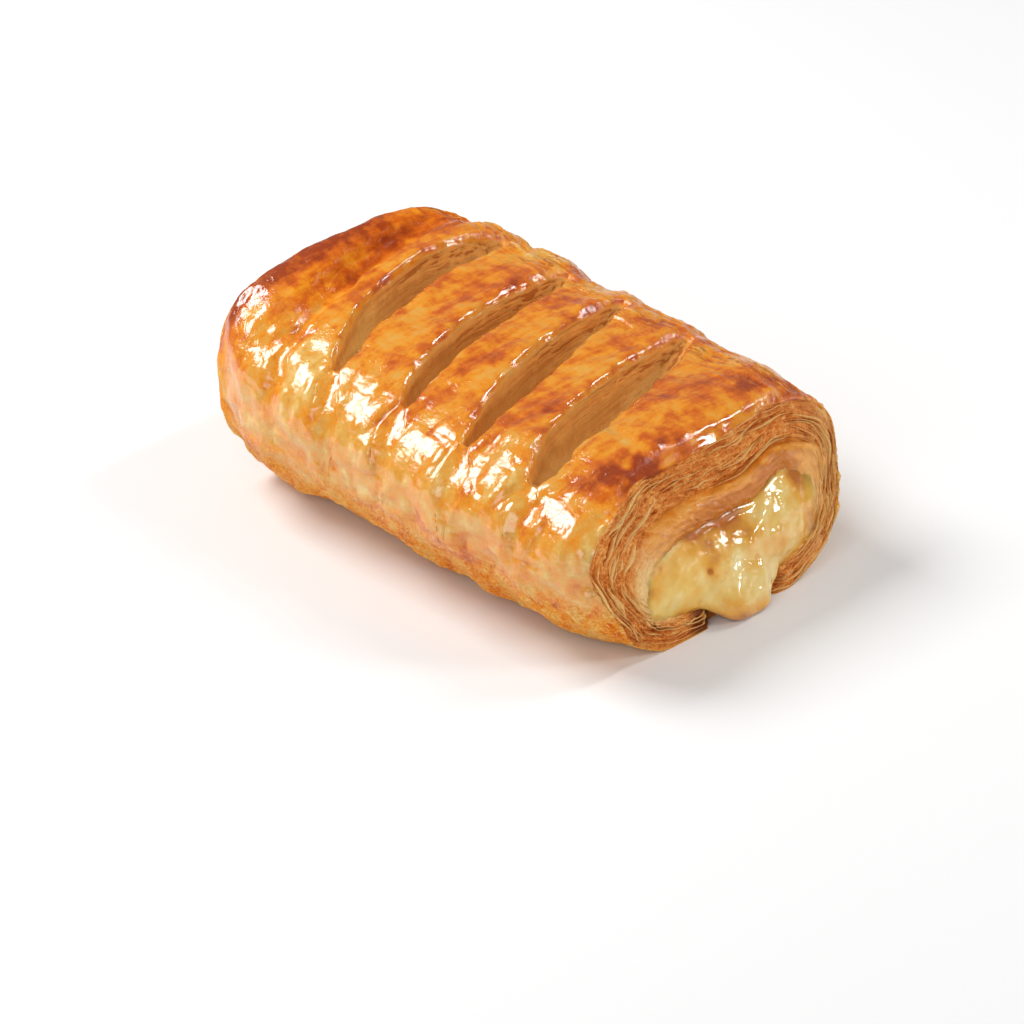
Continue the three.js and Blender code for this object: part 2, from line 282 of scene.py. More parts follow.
def mesh_piece(name, points, faces, values, material):
    """A smooth mesh from points in millimetres and arrays of faces, each with faces of one size.

    Every array in values becomes a number on each vertex that the material can read.
    """
    mesh = bpy.data.meshes.new(name)
    mesh.vertices.add(len(points))
    mesh.vertices.foreach_set("co", ((points - DRAWN_CENTRE) * MM).ravel())
    loops = np.concatenate([rows.ravel() for rows in faces])
    sizes = np.concatenate([np.full(len(rows), rows.shape[1]) for rows in faces])
    mesh.loops.add(len(loops))
    mesh.loops.foreach_set("vertex_index", loops)
    mesh.polygons.add(len(sizes))
    mesh.polygons.foreach_set("loop_start", np.concatenate(([0], np.cumsum(sizes)[:-1])))
    mesh.polygons.foreach_set("loop_total", sizes)
    mesh.polygons.foreach_set("use_smooth", np.ones(len(sizes), bool))
    for label, value in values.items():
        attribute = mesh.attributes.new(label, "FLOAT", "POINT")
        attribute.data.foreach_set("value", value.ravel())
    mesh.update(calc_edges=True)
    mesh.validate()
    mesh.materials.append(material)
    piece = bpy.data.objects.new(name, mesh)
    bpy.context.scene.collection.objects.link(piece)
    return piece


def grid_piece(name, points, values, material, poles=()):
    """A closed mesh from a grid of points: columns run round the roll, rings along it.

    Without poles the rings close on themselves as well; with poles each end ring is closed by a fan.
    """
    around, rings = points.shape[:2]
    index = np.arange(around * rings).reshape(around, rings)
    column = np.roll(index, -1, axis=0)
    last = rings - 1 if poles else rings
    ring_next = np.roll(index, -1, axis=1)[:, :last]
    column_next = np.roll(column, -1, axis=1)[:, :last]
    quads = np.stack([index[:, :last], column[:, :last], column_next, ring_next], axis=-1)
    faces = [quads.reshape(-1, 4)]
    corners = points.reshape(-1, 3)
    numbers = {label: value.ravel() for label, value in values.items()}
    for pole, ring in zip(poles, (0, -1)):
        tip = np.full(around, len(corners))
        corners = np.concatenate([corners, pole[None, :]])
        edge = index[:, ring]
        edge_next = np.roll(edge, -1)
        fan = (tip, edge_next, edge) if ring == 0 else (tip, edge, edge_next)
        faces.append(np.stack(fan, axis=-1))
        for label, value in values.items():
            numbers[label] = np.append(numbers[label], value[:, ring].mean())
    return mesh_piece(name, corners, faces, numbers, material)


# The glazed crust: places of the rings over each strip and across each cut
CRUST_COLUMNS = 450
UNDERSIDE_STEPS = 0.15
RIGHT_SIDE_STEPS = 0.6
RIGHT_SHOULDER_STEPS = 1.7
STRIP_RINGS = 22
STRIP_RIM_SHARE = 0.7
WALL_RINGS = 10
CUT_FLOOR_PLACES = (-0.35, 0.0, 0.4)
HIDDEN_WALL_DEPTHS = np.array([0.8, 0.5, 0.2])
# Rings behind the crust's edge: part of the way to the mouth, and how far back
BACK_PARTS = np.array([[0.025, 0.05, 0.08, 0.5, 1.0]])
BACK_REACH = np.array([[-0.25, 0.6, 3.0, 3.4, 3.4]])
FOLD_DEPTH = 0.8
FOLD_HALF = 2.8
FOLD_RUN = 15.0
LEDGE_HEIGHT = 8.5
LEDGE_BAND = 2.6
LEDGE_DEPTH = 1.3
OUTLINE_STEP = 0.02


def strip_rings():
    """Places over a strip from 0 to 1, closer at its rims: part of a turn of a cosine."""
    turn = np.linspace(0.0, np.pi, STRIP_RINGS)
    return mix(turn / np.pi, 0.5 - 0.5 * np.cos(turn), STRIP_RIM_SHARE)


def cut_rings():
    """Places across a cut from -1 to 1: even steps of depth on the wall that shows, few on the other."""
    shown_depth = np.arange(1, WALL_RINGS) / WALL_RINGS
    shown = -(1.0 - shown_depth) ** (1.0 / CUT_WALL_POWER)
    hidden = (1.0 - HIDDEN_WALL_DEPTHS) ** (1.0 / CUT_WALL_POWER)
    return np.concatenate([shown, CUT_FLOOR_PLACES, hidden])


def cut_openness(cut, y, top):
    """How far a cut is open on each column: a rounded arch between its ends, pointed at the left."""
    middle = (cut["left"] + cut["right"]) / 2.0
    part = (y - middle) / (cut["right"] - middle)
    arch = np.clip(1.0 - part ** 2, 0.0, 1.0) ** np.where(y < middle, 0.66, 0.55)
    return np.where(top, arch, 0.0)


def cut_fold(cut, y, z):
    """A soft valley that runs on from both ends of a cut and fades as it goes down the shoulder."""
    end = np.abs(np.where(y < 0, cut["left"], cut["right"]))
    run = np.where(y < 0, FOLD_RUN, FOLD_RUN * 0.6)
    beyond = ease(end - 1.0, end + 6.0, np.abs(y))
    return beyond * ease(37.0 - run, 35.0, z)


def outside_point(angle, along, push):
    """A point of the outside: place along the roll, its outline there, and a push out of the section.

    Slow waves, a bulge of the right shoulder and a broken ledge low on the left side add to the push.
    """
    y_middle, z_middle = body_outline(angle, 0.0)
    forward = NEAR_EDGE_FORWARD * ease(32.0, 6.0, y_middle) * ease(24.0, 37.0, z_middle)
    near_shift = (near_face_x(y_middle, z_middle) + forward - CRUST_NEAR_X) * along ** END_SHIFT_POWER
    far_shift = (far_face_x(y_middle, z_middle) - CRUST_FAR_X) * (1.0 - along) ** END_SHIFT_POWER
    x = mix(CRUST_FAR_X, CRUST_NEAR_X, along) + near_shift + far_shift
    y, z = body_outline(angle, x)
    y_before, z_before = body_outline(angle - OUTLINE_STEP, x)
    y_after, z_after = body_outline(angle + OUTLINE_STEP, x)
    length = np.hypot(y_after - y_before, z_after - z_before)
    lumps = 0.45 * (np.sin(0.13 * x + 2.0 * angle) + np.sin(0.29 * x - 3.0 * angle))
    sway = LEDGE_HEIGHT + 1.5 * np.sin(0.09 * x)
    broken = mix(0.2, 1.0, (1.0 + np.sin(0.17 * x)) / 2.0)
    band = np.exp(-((z_middle - sway) / LEDGE_BAND) ** 2)
    ledge = np.where(y_middle < 0, LEDGE_DEPTH * band * broken, 0.0)
    shoulder = SHOULDER_BULGE * ease(22.0, 38.0, y_middle) * ease(20.0, 34.0, z_middle)
    shoulder = shoulder * ease(62.0, 30.0, np.abs(x))
    out = (push + lumps + shoulder - ledge) * ease(0.0, 7.0, z)
    y = y + out * (z_after - z_before) / length
    z = z + out * (y_before - y_after) / length
    return np.stack(np.broadcast_arrays(x, y, np.maximum(0.0, z)), axis=-1)


def strip_bow(part, rim):
    """Height over a strip from 0 to 1: it falls by a power to its near rim and less to its far one."""
    fall = np.abs(2.0 * part - 1.0)
    return 1.0 - np.where(part > 0.5, fall ** rim, 0.45 * fall ** 8)


def strip_puff(open_share, y, z):
    """Puff of a strip: full between open cuts, slight on the left shoulder and none low on the sides."""
    return mix(np.where(y < 0, SIDE_PUFF, 0.1) * ease(12.0, 32.0, z), STRIP_PUFF, open_share)


def strips_and_cuts(angle):
    """Rings of the outside from the far crust edge to the near one, on each column.

    A strip bows up between two cuts; a cut goes down by 1-|v|^5 across its width, less towards its
    right end. Gives the place along, the push and the depth below a strip's top in mm.
    """
    y, z = (part[:, None] for part in body_outline(angle, 0.0))
    top = np.sin(angle)[:, None] > 0
    span = CRUST_NEAR_X - CRUST_FAR_X
    part = strip_rings()[None, :]
    across = cut_rings()[None, :]
    soft_down = (1.0 - across ** 2) ** 2
    along, push, depth = [], [], []
    start = np.zeros_like(y)
    for place, cut in enumerate(CUTS):
        open_share = cut_openness(cut, y, top)
        steep = cut["depth"] > 5.0
        bow = strip_bow(part, cut["rim"])
        down = 1.0 - np.abs(across) ** CUT_WALL_POWER if steep else soft_down
        puff = strip_puff(open_share, y, z) * (1.0 if steep else 0.6)
        fold = cut_fold(cut, y, z) * (1.0 - open_share)
        wobble = np.concatenate([y, 0.0 * y + 31.0 * place, 0.0 * y], axis=1)
        centre = cut["x"] + cut["slant"] * y + cut["bend"] * y ** 2
        centre = centre + 0.5 * hills(wobble, 9.0, 5)[:, None]
        half = mix(CUT_CLOSED_HALF, cut["half"], open_share) + FOLD_HALF * fold
        half = half + 0.35 * open_share * hills(wobble, 3.5, 6)[:, None]
        first = (centre - half - CRUST_FAR_X) / span
        last = (centre + half - CRUST_FAR_X) / span
        sunk = down * cut["depth"] * open_share * mix(1.0, 0.4, ease(0.0, 34.0, y))
        along += [mix(start, first, part), mix(first, last, (across + 1.0) / 2.0)]
        push += [puff * (bow - 0.5), -puff / 2.0 - sunk - FOLD_DEPTH * fold * soft_down]
        depth += [steep * np.where(part > 0.5, puff * (1.0 - bow), 0.0), steep * (puff + sunk)]
        start = last
    along.append(mix(start, 1.0, part))
    rim = mix(NEAR_RIM, NEAR_RIM_LEFT, ease(4.0, -16.0, y))
    push.append(puff * (strip_bow(part, rim) - 0.5))
    depth.append(np.zeros_like(y + part))
    return tuple(np.concatenate(rows, axis=1) for rows in (along, push, depth))


def crust_edge(angle, side):
    """The crust's edge at one end: where the outside of the first or last strip stops."""
    y, z = body_outline(angle, 0.0)
    cut = CUTS[-1] if side > 0 else CUTS[0]
    open_share = cut_openness(cut, y, np.sin(angle) > 0)
    return outside_point(angle, (1.0 + side) / 2.0, -0.5 * strip_puff(open_share, y, z))


def face_point(angle, edge, part, side):
    """A point of an end face, part of the way from the crust edge to the mouth of the hollow."""
    face_x = near_face_x if side > 0 else far_face_x
    y_mouth, z_mouth = mouth_outline(angle, side)
    y = mix(edge[:, 1:2], y_mouth[:, None], part)
    z = mix(edge[:, 2:3], z_mouth[:, None], part)
    slip = edge[:, 0:1] - face_x(edge[:, 1:2], edge[:, 2:3])
    inset = MOUTH_ROUNDING * ease(0.85, 1.0, part)
    return np.stack([face_x(y, z) + slip * (1.0 - part) - side * inset, y, z], axis=-1)


def crust_back(angle, edge, side):
    """Rings that turn the crust's edge in behind the layers and on to the mouth of the hollow."""
    points = face_point(angle, edge, BACK_PARTS, side)
    points[..., 0] -= side * BACK_REACH
    points[..., 2] = np.maximum(points[..., 2], 0.0)
    return points


# Browned places on top: x, y, reach along, reach across, strength
BROWNED = (
    (50.5, -17.0, 4.5, 7.5, 1.1),
    (48.0, -4.0, 4.0, 5.0, 0.5),
    (47.5, -28.0, 3.5, 3.5, 0.5),
    (46.0, 34.0, 8.0, 8.0, 0.5),
    (36.0, 20.0, 6.0, 12.0, 0.25),
    (-66.0, -22.0, 5.0, 14.0, 0.85),
    (-65.0, 6.0, 4.0, 14.0, 0.5),
    (-53.5, -6.0, 3.5, 4.5, 0.5),
    (-54.0, 24.0, 4.0, 8.0, 0.4),
    (20.0, 16.0, 3.5, 10.0, 0.35),
    (18.0, -14.0, 4.0, 6.0, 0.2),
    (-5.0, 22.0, 4.0, 9.0, 0.4),
    (-28.0, 20.0, 4.0, 9.0, 0.4),
)


def side_creases(points):
    """Wandering creases between the flakes on the sides: level lines of random hills."""
    return wrinkles(stretch(points, 0.8, 0.7, 0.7), 7.0, 25, 0.11)


def near_crease(points):
    """A shallow stretched crease that runs over the near strip to its edge and then turns left.

    Its section is a bell curve of the distance in y to a wandering line.
    """
    x, y = points[..., 0], points[..., 1]
    line = -10.0 - 9.0 * ease(42.0, 51.0, x) + 0.8 * hills(points, 5.0, 36)
    return np.exp(-((y - line) / 2.2) ** 2) * ease(26.0, 31.0, x)


def right_folds(points):
    """Folded sheets on the right shoulder: level lines of two sizes of hills drawn out along the roll."""
    drawn_out = stretch(points, 0.16, 1.0, 1.0)
    shown = np.clip(0.5 + 0.9 * hills(drawn_out, 3.0, 30), 0.0, 1.0)
    return shown * (0.7 * wrinkles(drawn_out, 4.2, 16, 0.15) + 0.5 * wrinkles(drawn_out, 2.5, 29, 0.16))


def side_wisps(points):
    """Thin raised edges of flakes on the sides: broken level lines of hills drawn out round the roll."""
    drawn_out = stretch(points, 1.0, 0.5, 0.4)
    return wrinkles(drawn_out, 4.0, 33, 0.09) * np.clip(0.4 + hills(points, 6.0, 34), 0.0, 1.0)


def crust_relief(points, depth):
    """Relief on the crust in mm.

    A sum of hills, drawn-out wrinkles, flat plates, creases and round bubbles, each times where it shows:
    the top, the sides, the left shoulder, the right side or the cuts. It fades to the flat base.
    """
    x, y, z = points[..., 0], points[..., 1], points[..., 2]
    in_cut = ease(1.0, 2.2, depth)
    top = ease(24.0, 36.0, z) * (1.0 - in_cut)
    side = (1.0 - ease(22.0, 34.0, z)) * (1.0 - in_cut)
    shoulder = ease(14.0, 24.0, z) * ease(-20.0, -30.0, y) * (1.0 - in_cut)
    right = ease(18.0, 32.0, y) * (1.0 - in_cut)
    # Lumps of three sizes, finer ones on the shoulder, and puckers on the near left shoulder
    relief = 0.45 * hills(points, 15.0, 11) * (1.0 - in_cut)
    relief += 0.32 * hills(points, 6.5, 12) * (1.0 - 0.7 * in_cut)
    relief += 0.1 * hills(points, 2.6, 13) * (1.0 - 0.5 * in_cut)
    relief += 0.5 * shoulder * hills(stretch(points, 1.0, 0.4, 0.4), 4.2, 19)
    puckers = ease(33.0, 40.0, x) * ease(-12.0, -20.0, y) * ease(22.0, 29.0, z) * (1.0 - in_cut)
    relief += 0.6 * puckers * hills(stretch(points, 1.0, 0.5, 0.5), 3.6, 52)
    # Wrinkles along the strips
    relief -= 0.28 * top * wrinkles(stretch(points, 1.0, 0.22, 0.5), 7.0, 14, 0.1)
    relief += 0.14 * top * hills(stretch(points, 1.0, 0.2, 0.4), 1.9, 24)
    # Flakes of two sizes on the sides, with creases and raised edges
    _, rim_gap, plate = flakes(stretch(points, 0.7, 1.0, 1.1), 5.2, 15)
    relief += (side + 0.3 * shoulder) * 0.7 * (plate - 0.5) * ease(0.0, 0.3, rim_gap)
    _, rim_gap, plate = flakes(stretch(points, 0.6, 1.0, 1.0), 2.3, 28)
    relief += (side + 0.3 * shoulder) * 0.4 * (plate - 0.5) * ease(0.0, 0.2, rim_gap)
    relief -= 0.3 * (side + 0.5 * shoulder) * side_creases(points)
    relief += 0.3 * (side + 0.4 * shoulder) * side_wisps(points)
    # Bubbles and the stretched crease on top, folds on the right, fine grain on sides and cut walls
    middle, _, plate = flakes(stretch(points, 1.0, 0.7, 0.7), 4.5, 40)
    bubbles = np.clip(1.0 - (middle / 0.4) ** 2, 0.0, 1.0) * (plate < 0.3)
    relief += 0.4 * top * ease(12.0, -8.0, y) * bubbles
    relief -= 0.5 * top * near_crease(points)
    relief += 0.7 * right * right_folds(points)
    relief += 0.07 * hills(points, 1.2, 18) * (in_cut + side)
    relief += 0.15 * in_cut * hills(stretch(points, 1.0, 1.0, 0.3), 1.8, 35)
    return relief * ease(0.0, 5.0, z)


def crust_looks(points, depth):
    """How baked, glazed, pale and flaky the crust is and where it is a cut wall, from 0 to 1.

    Each is a sum of eased ranges of place, random hills and browned spots with bell curves. The depth
    below a strip's top goes with them in mm. The paleness deep in the cuts is painted light, and the
    extra bake along the side creases is painted shade.
    """
    x, y, z = points[..., 0], points[..., 1], points[..., 2]
    in_cut = ease(1.2, 2.4, depth)
    top = ease(24.0, 37.0, z) * (1.0 - in_cut)
    side = (1.0 - ease(18.0, 32.0, z)) * (1.0 - in_cut)
    left = ease(-24.0, -35.0, y)
    right = ease(22.0, 36.0, y)
    bake = 0.17 + 0.36 * top * (1.0 - 0.75 * left) + 0.06 * right
    bake += 0.25 * top * hills(stretch(points, 1.0, 0.5, 0.5), 8.0, 21)
    bake += 0.14 * top * hills(stretch(points, 1.0, 0.16, 0.3), 2.2, 26)
    patches = 0.18 * hills(points, 6.0, 22) + 0.1 * hills(points, 2.5, 32)
    bake += (side * mix(0.35, 0.8, ease(6.0, 18.0, z)) + 0.6 * left) * patches
    # More baked along the side creases: darker, warmer colour as painted shade in the creases
    bake += (0.14 * side + 0.08 * left) * side_creases(points) + 0.11 * side + 0.07 * left
    bake -= 0.2 * side * side_wisps(points)
    bake -= right * (0.05 + 0.4 * right_folds(points))
    bake += 0.12 * ease(-46.0, -64.0, x) * top
    bake -= 0.25 * top * near_crease(points)
    for spot_x, spot_y, run_x, run_y, strength in BROWNED:
        away = ((x - spot_x) / run_x) ** 2 + ((y - spot_y) / run_y) ** 2
        bake += strength * top * np.exp(-away) * (0.7 + 0.6 * hills(points, 4.0, 23))
    bake += 0.08 * ease(3.0, 0.0, z) - 0.07 * side * ease(30.0, 50.0, x)
    # Dull places: the right side, the left half of the near edge, the far valley and the far rim
    glaze = mix(0.2, 1.0, ease(12.0, 25.0, z)) * (1.0 - in_cut) - 0.3 * right
    glaze -= 0.7 * ease(48.0, 51.0, x) * ease(6.0, -2.0, y) * ease(-34.0, -28.0, y)
    glaze -= 0.85 * np.exp(-((x + 58.5 + 0.17 * y) / 6.5) ** 2) * ease(-30.0, -22.0, y)
    glaze *= mix(1.0, 0.3, ease(-57.0, -64.0, x) * ease(46.0, 32.0, z))
    pale = 0.5 * in_cut * ease(2.5, 5.5, depth) * ease(2.0, -16.0, y) * ease(-22.0, -30.0, x)
    # Paler the deeper a cut goes: painted light in place of the shade that falls deep in the cuts
    pale += in_cut * (0.12 + 0.28 * ease(3.0, 8.0, depth))
    wall_sheets = in_cut * mix(1.0, 0.5, ease(4.0, 7.5, depth)) * mix(0.35, 1.0, ease(-16.0, 10.0, y))
    flaky = ease(18.0, 28.0, np.abs(y)) * ease(0.0, 5.0, z) * (1.0 - in_cut)
    folds = ease(20.0, 34.0, y) * ease(17.0, 31.0, z) * (1.0 - in_cut)
    folds *= mix(0.25, 1.0, ease(-0.35, 0.35, hills(stretch(points, 0.5, 1.0, 1.0), 7.0, 44)))
    flaky *= (1.0 - folds) * mix(1.0, 0.2, ease(14.0, 23.0, z))
    looks = dict(
        bake=bake, glaze=glaze, wall=in_cut, pale=pale, flaky=flaky, folds=folds, wall_sheets=wall_sheets)
    looks = {label: np.clip(value, 0.0, 1.0) for label, value in looks.items()}
    return looks | dict(wall_depth=depth)


def crust_piece(material):
    """The glazed crust: strips and cuts on the outline of the roll, with the relief along its normal."""
    angle = around_angles(CRUST_COLUMNS, UNDERSIDE_STEPS, RIGHT_SIDE_STEPS, RIGHT_SHOULDER_STEPS)
    along, push, depth = strips_and_cuts(angle)
    outside = outside_point(angle[:, None], along, push)
    near_back = crust_back(angle, crust_edge(angle, NEAR), NEAR)
    far_back = crust_back(angle, crust_edge(angle, FAR), FAR)[:, ::-1]
    points = np.concatenate([outside, near_back, far_back], axis=1)
    rings = outside.shape[1]
    turned = near_back.shape[1]
    relief = np.zeros(points.shape[:2])
    relief[:, :rings] = crust_relief(outside, depth)
    relief[:, rings] = relief[:, rings - 1]
    relief[:, -1] = relief[:, 0]
    looks = {}
    for label, value in crust_looks(outside, depth).items():
        near_value = np.repeat(value[:, -1:], turned, axis=1)
        far_value = np.repeat(value[:, :1], turned, axis=1)
        looks[label] = np.concatenate([value, near_value, far_value], axis=1)
    points = points + grid_normals(points, True) * relief[..., None]
    points[..., 2] = np.maximum(points[..., 2], 0.0)
    return grid_piece("pastry_crust", points, looks, material)


# The folded layers at both ends
NEAR_COLUMNS = 560
NEAR_FACE_RINGS = 160
FAR_COLUMNS = 440
FAR_FACE_RINGS = 120
FACE_START = 0.005
TUNNEL_REACH = 12.0
TUNNEL_GAP = 0.1
TUNNEL_STEPS = np.array([[0.6, 1.6, 3.2, 6.0, TUNNEL_REACH]])
# Rings behind the face: part of the way to the mouth, and how far back
BEHIND_PARTS = np.array([[0.9, 0.5, 0.2, 0.04]])
BEHIND_REACH = np.array([[TUNNEL_REACH, 9.0, 6.0, 2.5]])
FLOOR_GAP = 0.05
NEAR_LAYERS_SEED = 31
FAR_LAYERS_SEED = 61
OUTLINE_RADIUS = 40.0
# Sheets on an end face: size of the hills, how far they are drawn out, rise in mm, turn of the seed
LAYER_SIZES = (
    (9.5, 5.8, 0.36, 1),
    (6.2, 5.2, 0.32, 5),
    (3.8, 4.6, 0.24, 9),
    (2.5, 4.2, 0.15, 13),
)


def round_the_roll(run, third):
    """Points on a ring about as long as the roll's outline, so that a pattern along it closes."""
    x = OUTLINE_RADIUS * np.cos(run)
    y = OUTLINE_RADIUS * np.sin(run)
    return np.stack(np.broadcast_arrays(x, y, third), axis=-1)


def layer_relief(run, depth, plain_from, seed):
    """Height of the folded sheets on an end face in mm, and from -1 in a gap to 1 on a sheet's edge.

    Edges of sheets are the level lines of random hills drawn out along the outline, so that they fork
    and close round long gaps. Four sizes and small pores are added, and the height fades on the lip;
    the thinnest lines are colour alone. The second value darkens the gaps and pores as painted shade.
    """
    height = 0.5 * hills(round_the_roll(run, depth * 1.5), 6.0, seed)
    shade = np.zeros_like(height)
    for size, drawn_out, rise, turn in LAYER_SIZES:
        spots = round_the_roll(run, depth * drawn_out)
        field = hills(spots, size, seed + turn)
        shown = np.clip(0.35 + 1.1 * hills(spots, size * 0.6, seed + turn + 1), 0.1, 1.0)
        edge = shown * np.exp(-(field / 0.055) ** 2)
        gap = ease(0.1, 0.6, field)
        height += rise * (edge - 1.1 * gap)
        # Darker in the gaps between sheets as painted shade, lighter on their edges
        shade += rise * (2.0 * edge ** 2 - 0.45 * gap)
    middle, _, plate = flakes(round_the_roll(run, depth * 2.2), 2.4, seed + 17)
    pores = np.exp(-(middle / 0.3) ** 2) * (plate > 0.6)
    height -= 0.35 * pores
    # Darker in the pores: painted shade
    shade -= 0.5 * pores
    # The thinnest lines in colour alone: light edges, and painted shade in their gaps
    thin = hills(round_the_roll(run, depth * 4.0), 1.7, seed + 21)
    shade += 0.28 * np.exp(-(thin / 0.07) ** 2) - 0.12 * ease(0.1, 0.6, thin)
    fade = mix(1.0, 0.3, ease(plain_from - 0.8, plain_from + 0.8, depth))
    return fade * height, np.clip(shade, -1.0, 1.0)


def end_grid(angle, face_rings, side):
    """Grid of one end of the roll: its face, a way into the hollow, and back behind the face.

    The face runs straight from the crust edge to the mouth on every column. Gives the face and the grid.
    """
    edge = crust_edge(angle, side)
    face = face_point(angle, edge, np.linspace(FACE_START, 1.0, face_rings)[None, :], side)
    y_hollow, z_hollow = (value[:, None] for value in hollow_outline(angle, TUNNEL_GAP))
    settled = ease(0.0, TUNNEL_REACH, TUNNEL_STEPS)
    tunnel_x = face[:, -1:, 0] - side * TUNNEL_STEPS
    tunnel_y = mix(face[:, -1:, 1], y_hollow, settled)
    tunnel_z = mix(face[:, -1:, 2], z_hollow, settled)
    tunnel = np.stack(np.broadcast_arrays(tunnel_x, tunnel_y, tunnel_z), axis=-1)
    behind = face_point(angle, edge, BEHIND_PARTS, side)
    behind[..., 0] -= side * BEHIND_REACH
    return face, np.concatenate([face, tunnel, behind], axis=1)


def end_piece(name, side, columns, face_rings, material):
    """One end of the roll: stacked sheets from the crust to the mouth, a lip over it, the hollow's rim.

    The relief of the sheets, a lip of half a sine over the mouth and a crease above it stand out along
    the mean normal of each column of the face.
    """
    angle = around_angles(columns, 0.5)
    face, points = end_grid(angle, face_rings, side)
    y, z = face[..., 1], face[..., 2]
    steps = np.linalg.norm(np.diff(face, axis=1), axis=-1)
    depth = np.concatenate([np.zeros((columns, 1)), np.cumsum(steps, axis=1)], axis=1)
    wall = depth[:, -1:]
    top = ease(0.3, 0.85, np.sin(angle))[:, None]
    left = ease(0.4, 0.95, -np.cos(angle))[:, None]
    pocket = ease(0.55, 0.9, np.cos(angle))[:, None]
    plain_from = mix(np.minimum(wall * 0.92, 14.0) * mix(1.0, 0.55, pocket), wall * 0.56, top)
    run = np.linspace(0.0, 2.0 * np.pi, columns, endpoint=False)[:, None]
    seed = NEAR_LAYERS_SEED if side > 0 else FAR_LAYERS_SEED
    height, sheet = layer_relief(run, depth, plain_from, seed)
    lip_part = np.clip((depth - plain_from) / np.maximum(wall - plain_from, 0.1), 0.0, 1.0)
    lip = top * np.sin(np.pi * lip_part)
    crease = top * np.exp(-((depth - plain_from) / 0.7) ** 2)
    smooth = round_the_roll(run, depth)
    on_lip = depth > plain_from
    height = height + 1.6 * lip - mix(0.7, 1.3, ease(-12.0, 6.0, y)) * crease
    height += on_lip * (0.4 * hills(smooth, 6.0, seed + 8) + 0.3 * hills(smooth, 2.2, seed + 9))
    height -= on_lip * 0.3 * wrinkles(round_the_roll(run * 0.5, depth * 2.0), 6.0, seed + 10)
    height *= ease(0.0, 0.9, depth) * ease(-1.0, 2.0, z)
    normal = grid_normals(points, True)[:, :face_rings] * side
    level = normal[:, ::6].mean(axis=1, keepdims=True)
    points[:, :face_rings] += level * height[..., None]
    points[..., 2] = np.maximum(points[..., 2], FLOOR_GAP)

    # Looks: lines of sheets down to the lip, toasted streaks on it, pale dough on the left and the right,
    # which on the right wall is partly painted light
    lined_to = mix(plain_from, wall * 1.1, left * (1.0 - top))
    layered = 1.0 - 0.9 * ease(lined_to - 1.2, lined_to + 1.2, depth)
    inner = left * ease(0.5, 0.85, depth / wall)
    sheet = sheet + 0.45 * inner
    toast = 0.36 + 0.25 * hills(smooth, 9.0, seed + 11) + 0.12 * hills(smooth, 2.5, seed + 12)
    toast += 0.5 * on_lip * hills(round_the_roll(run, depth * 3.0), 5.0, seed + 14)
    toast += 0.8 * top * ease(0.15, 0.65, lip_part) * ease(-10.0, 6.0, y) * ease(32.0, 22.0, y)
    toast += top * (0.3 * ease(0.1, 0.6, lip_part) + 0.5 * ease(0.6, 0.95, lip_part)) + 0.1 * pocket
    # Paler on the right wall: pale dough, and partly painted light where light falls on it
    pale = 0.5 * pocket + 0.75 * inner + 0.4 * ease(0.0, -18.0, y) * ease(0.0, 0.7, lip_part)
    pale *= 1.0 - 0.8 * top
    # Darker low on the left side of the notch, at the near end only
    notch_darkening = ease(-13.0, -9.0, y) * ease(-2.0, -5.0, y) * ease(10.0, 6.0, z) * (side > 0)
    gloss = lip + 0.8 * pocket * ease(0.1, 0.5, lip_part) + 0.5 * pale
    looks = dict(sheet=sheet * 0.5 + 0.5, layered=layered, toast=toast, pale=pale, lip=gloss, notch_darkening=notch_darkening)
    hidden = ((0, 0), (0, points.shape[1] - face_rings))
    looks = {label: np.pad(np.clip(value, 0.0, 1.0), hidden, "edge") for label, value in looks.items()}
    if side < 0:
        points = points[:, ::-1]
        looks = {label: value[:, ::-1] for label, value in looks.items()}
    return grid_piece(name, points, looks, material)


def tube_piece(name, rings, values, material):
    """Many closed strips in one mesh: an array of strips, places along each, corners of its section, xyz.

    Sides join the sections of neighbouring places, and each end is closed by one flat face.
    """
    strips, places, corners = rings.shape[:3]
    index = np.arange(strips * places * corners).reshape(strips, places, corners)
    turned = np.roll(index, -1, axis=2)
    sides = np.stack([index[:, :-1], turned[:, :-1], turned[:, 1:], index[:, 1:]], axis=-1)
    caps = np.concatenate([index[:, 0, ::-1], index[:, -1]])
    return mesh_piece(name, rings.reshape(-1, 3), [sides.reshape(-1, 4), caps], values, material)


LOOSE_SHEETS = 110
SHEET_PLACES = 30
SHEET_CORNERS = 8
SHEET_ROOT = -0.7
SHEET_HALF_THICKNESS = 0.12
SHEET_TURN_RADIUS = 38.0
NEAR_SHEETS_SEED = 71
FAR_SHEETS_SEED = 73


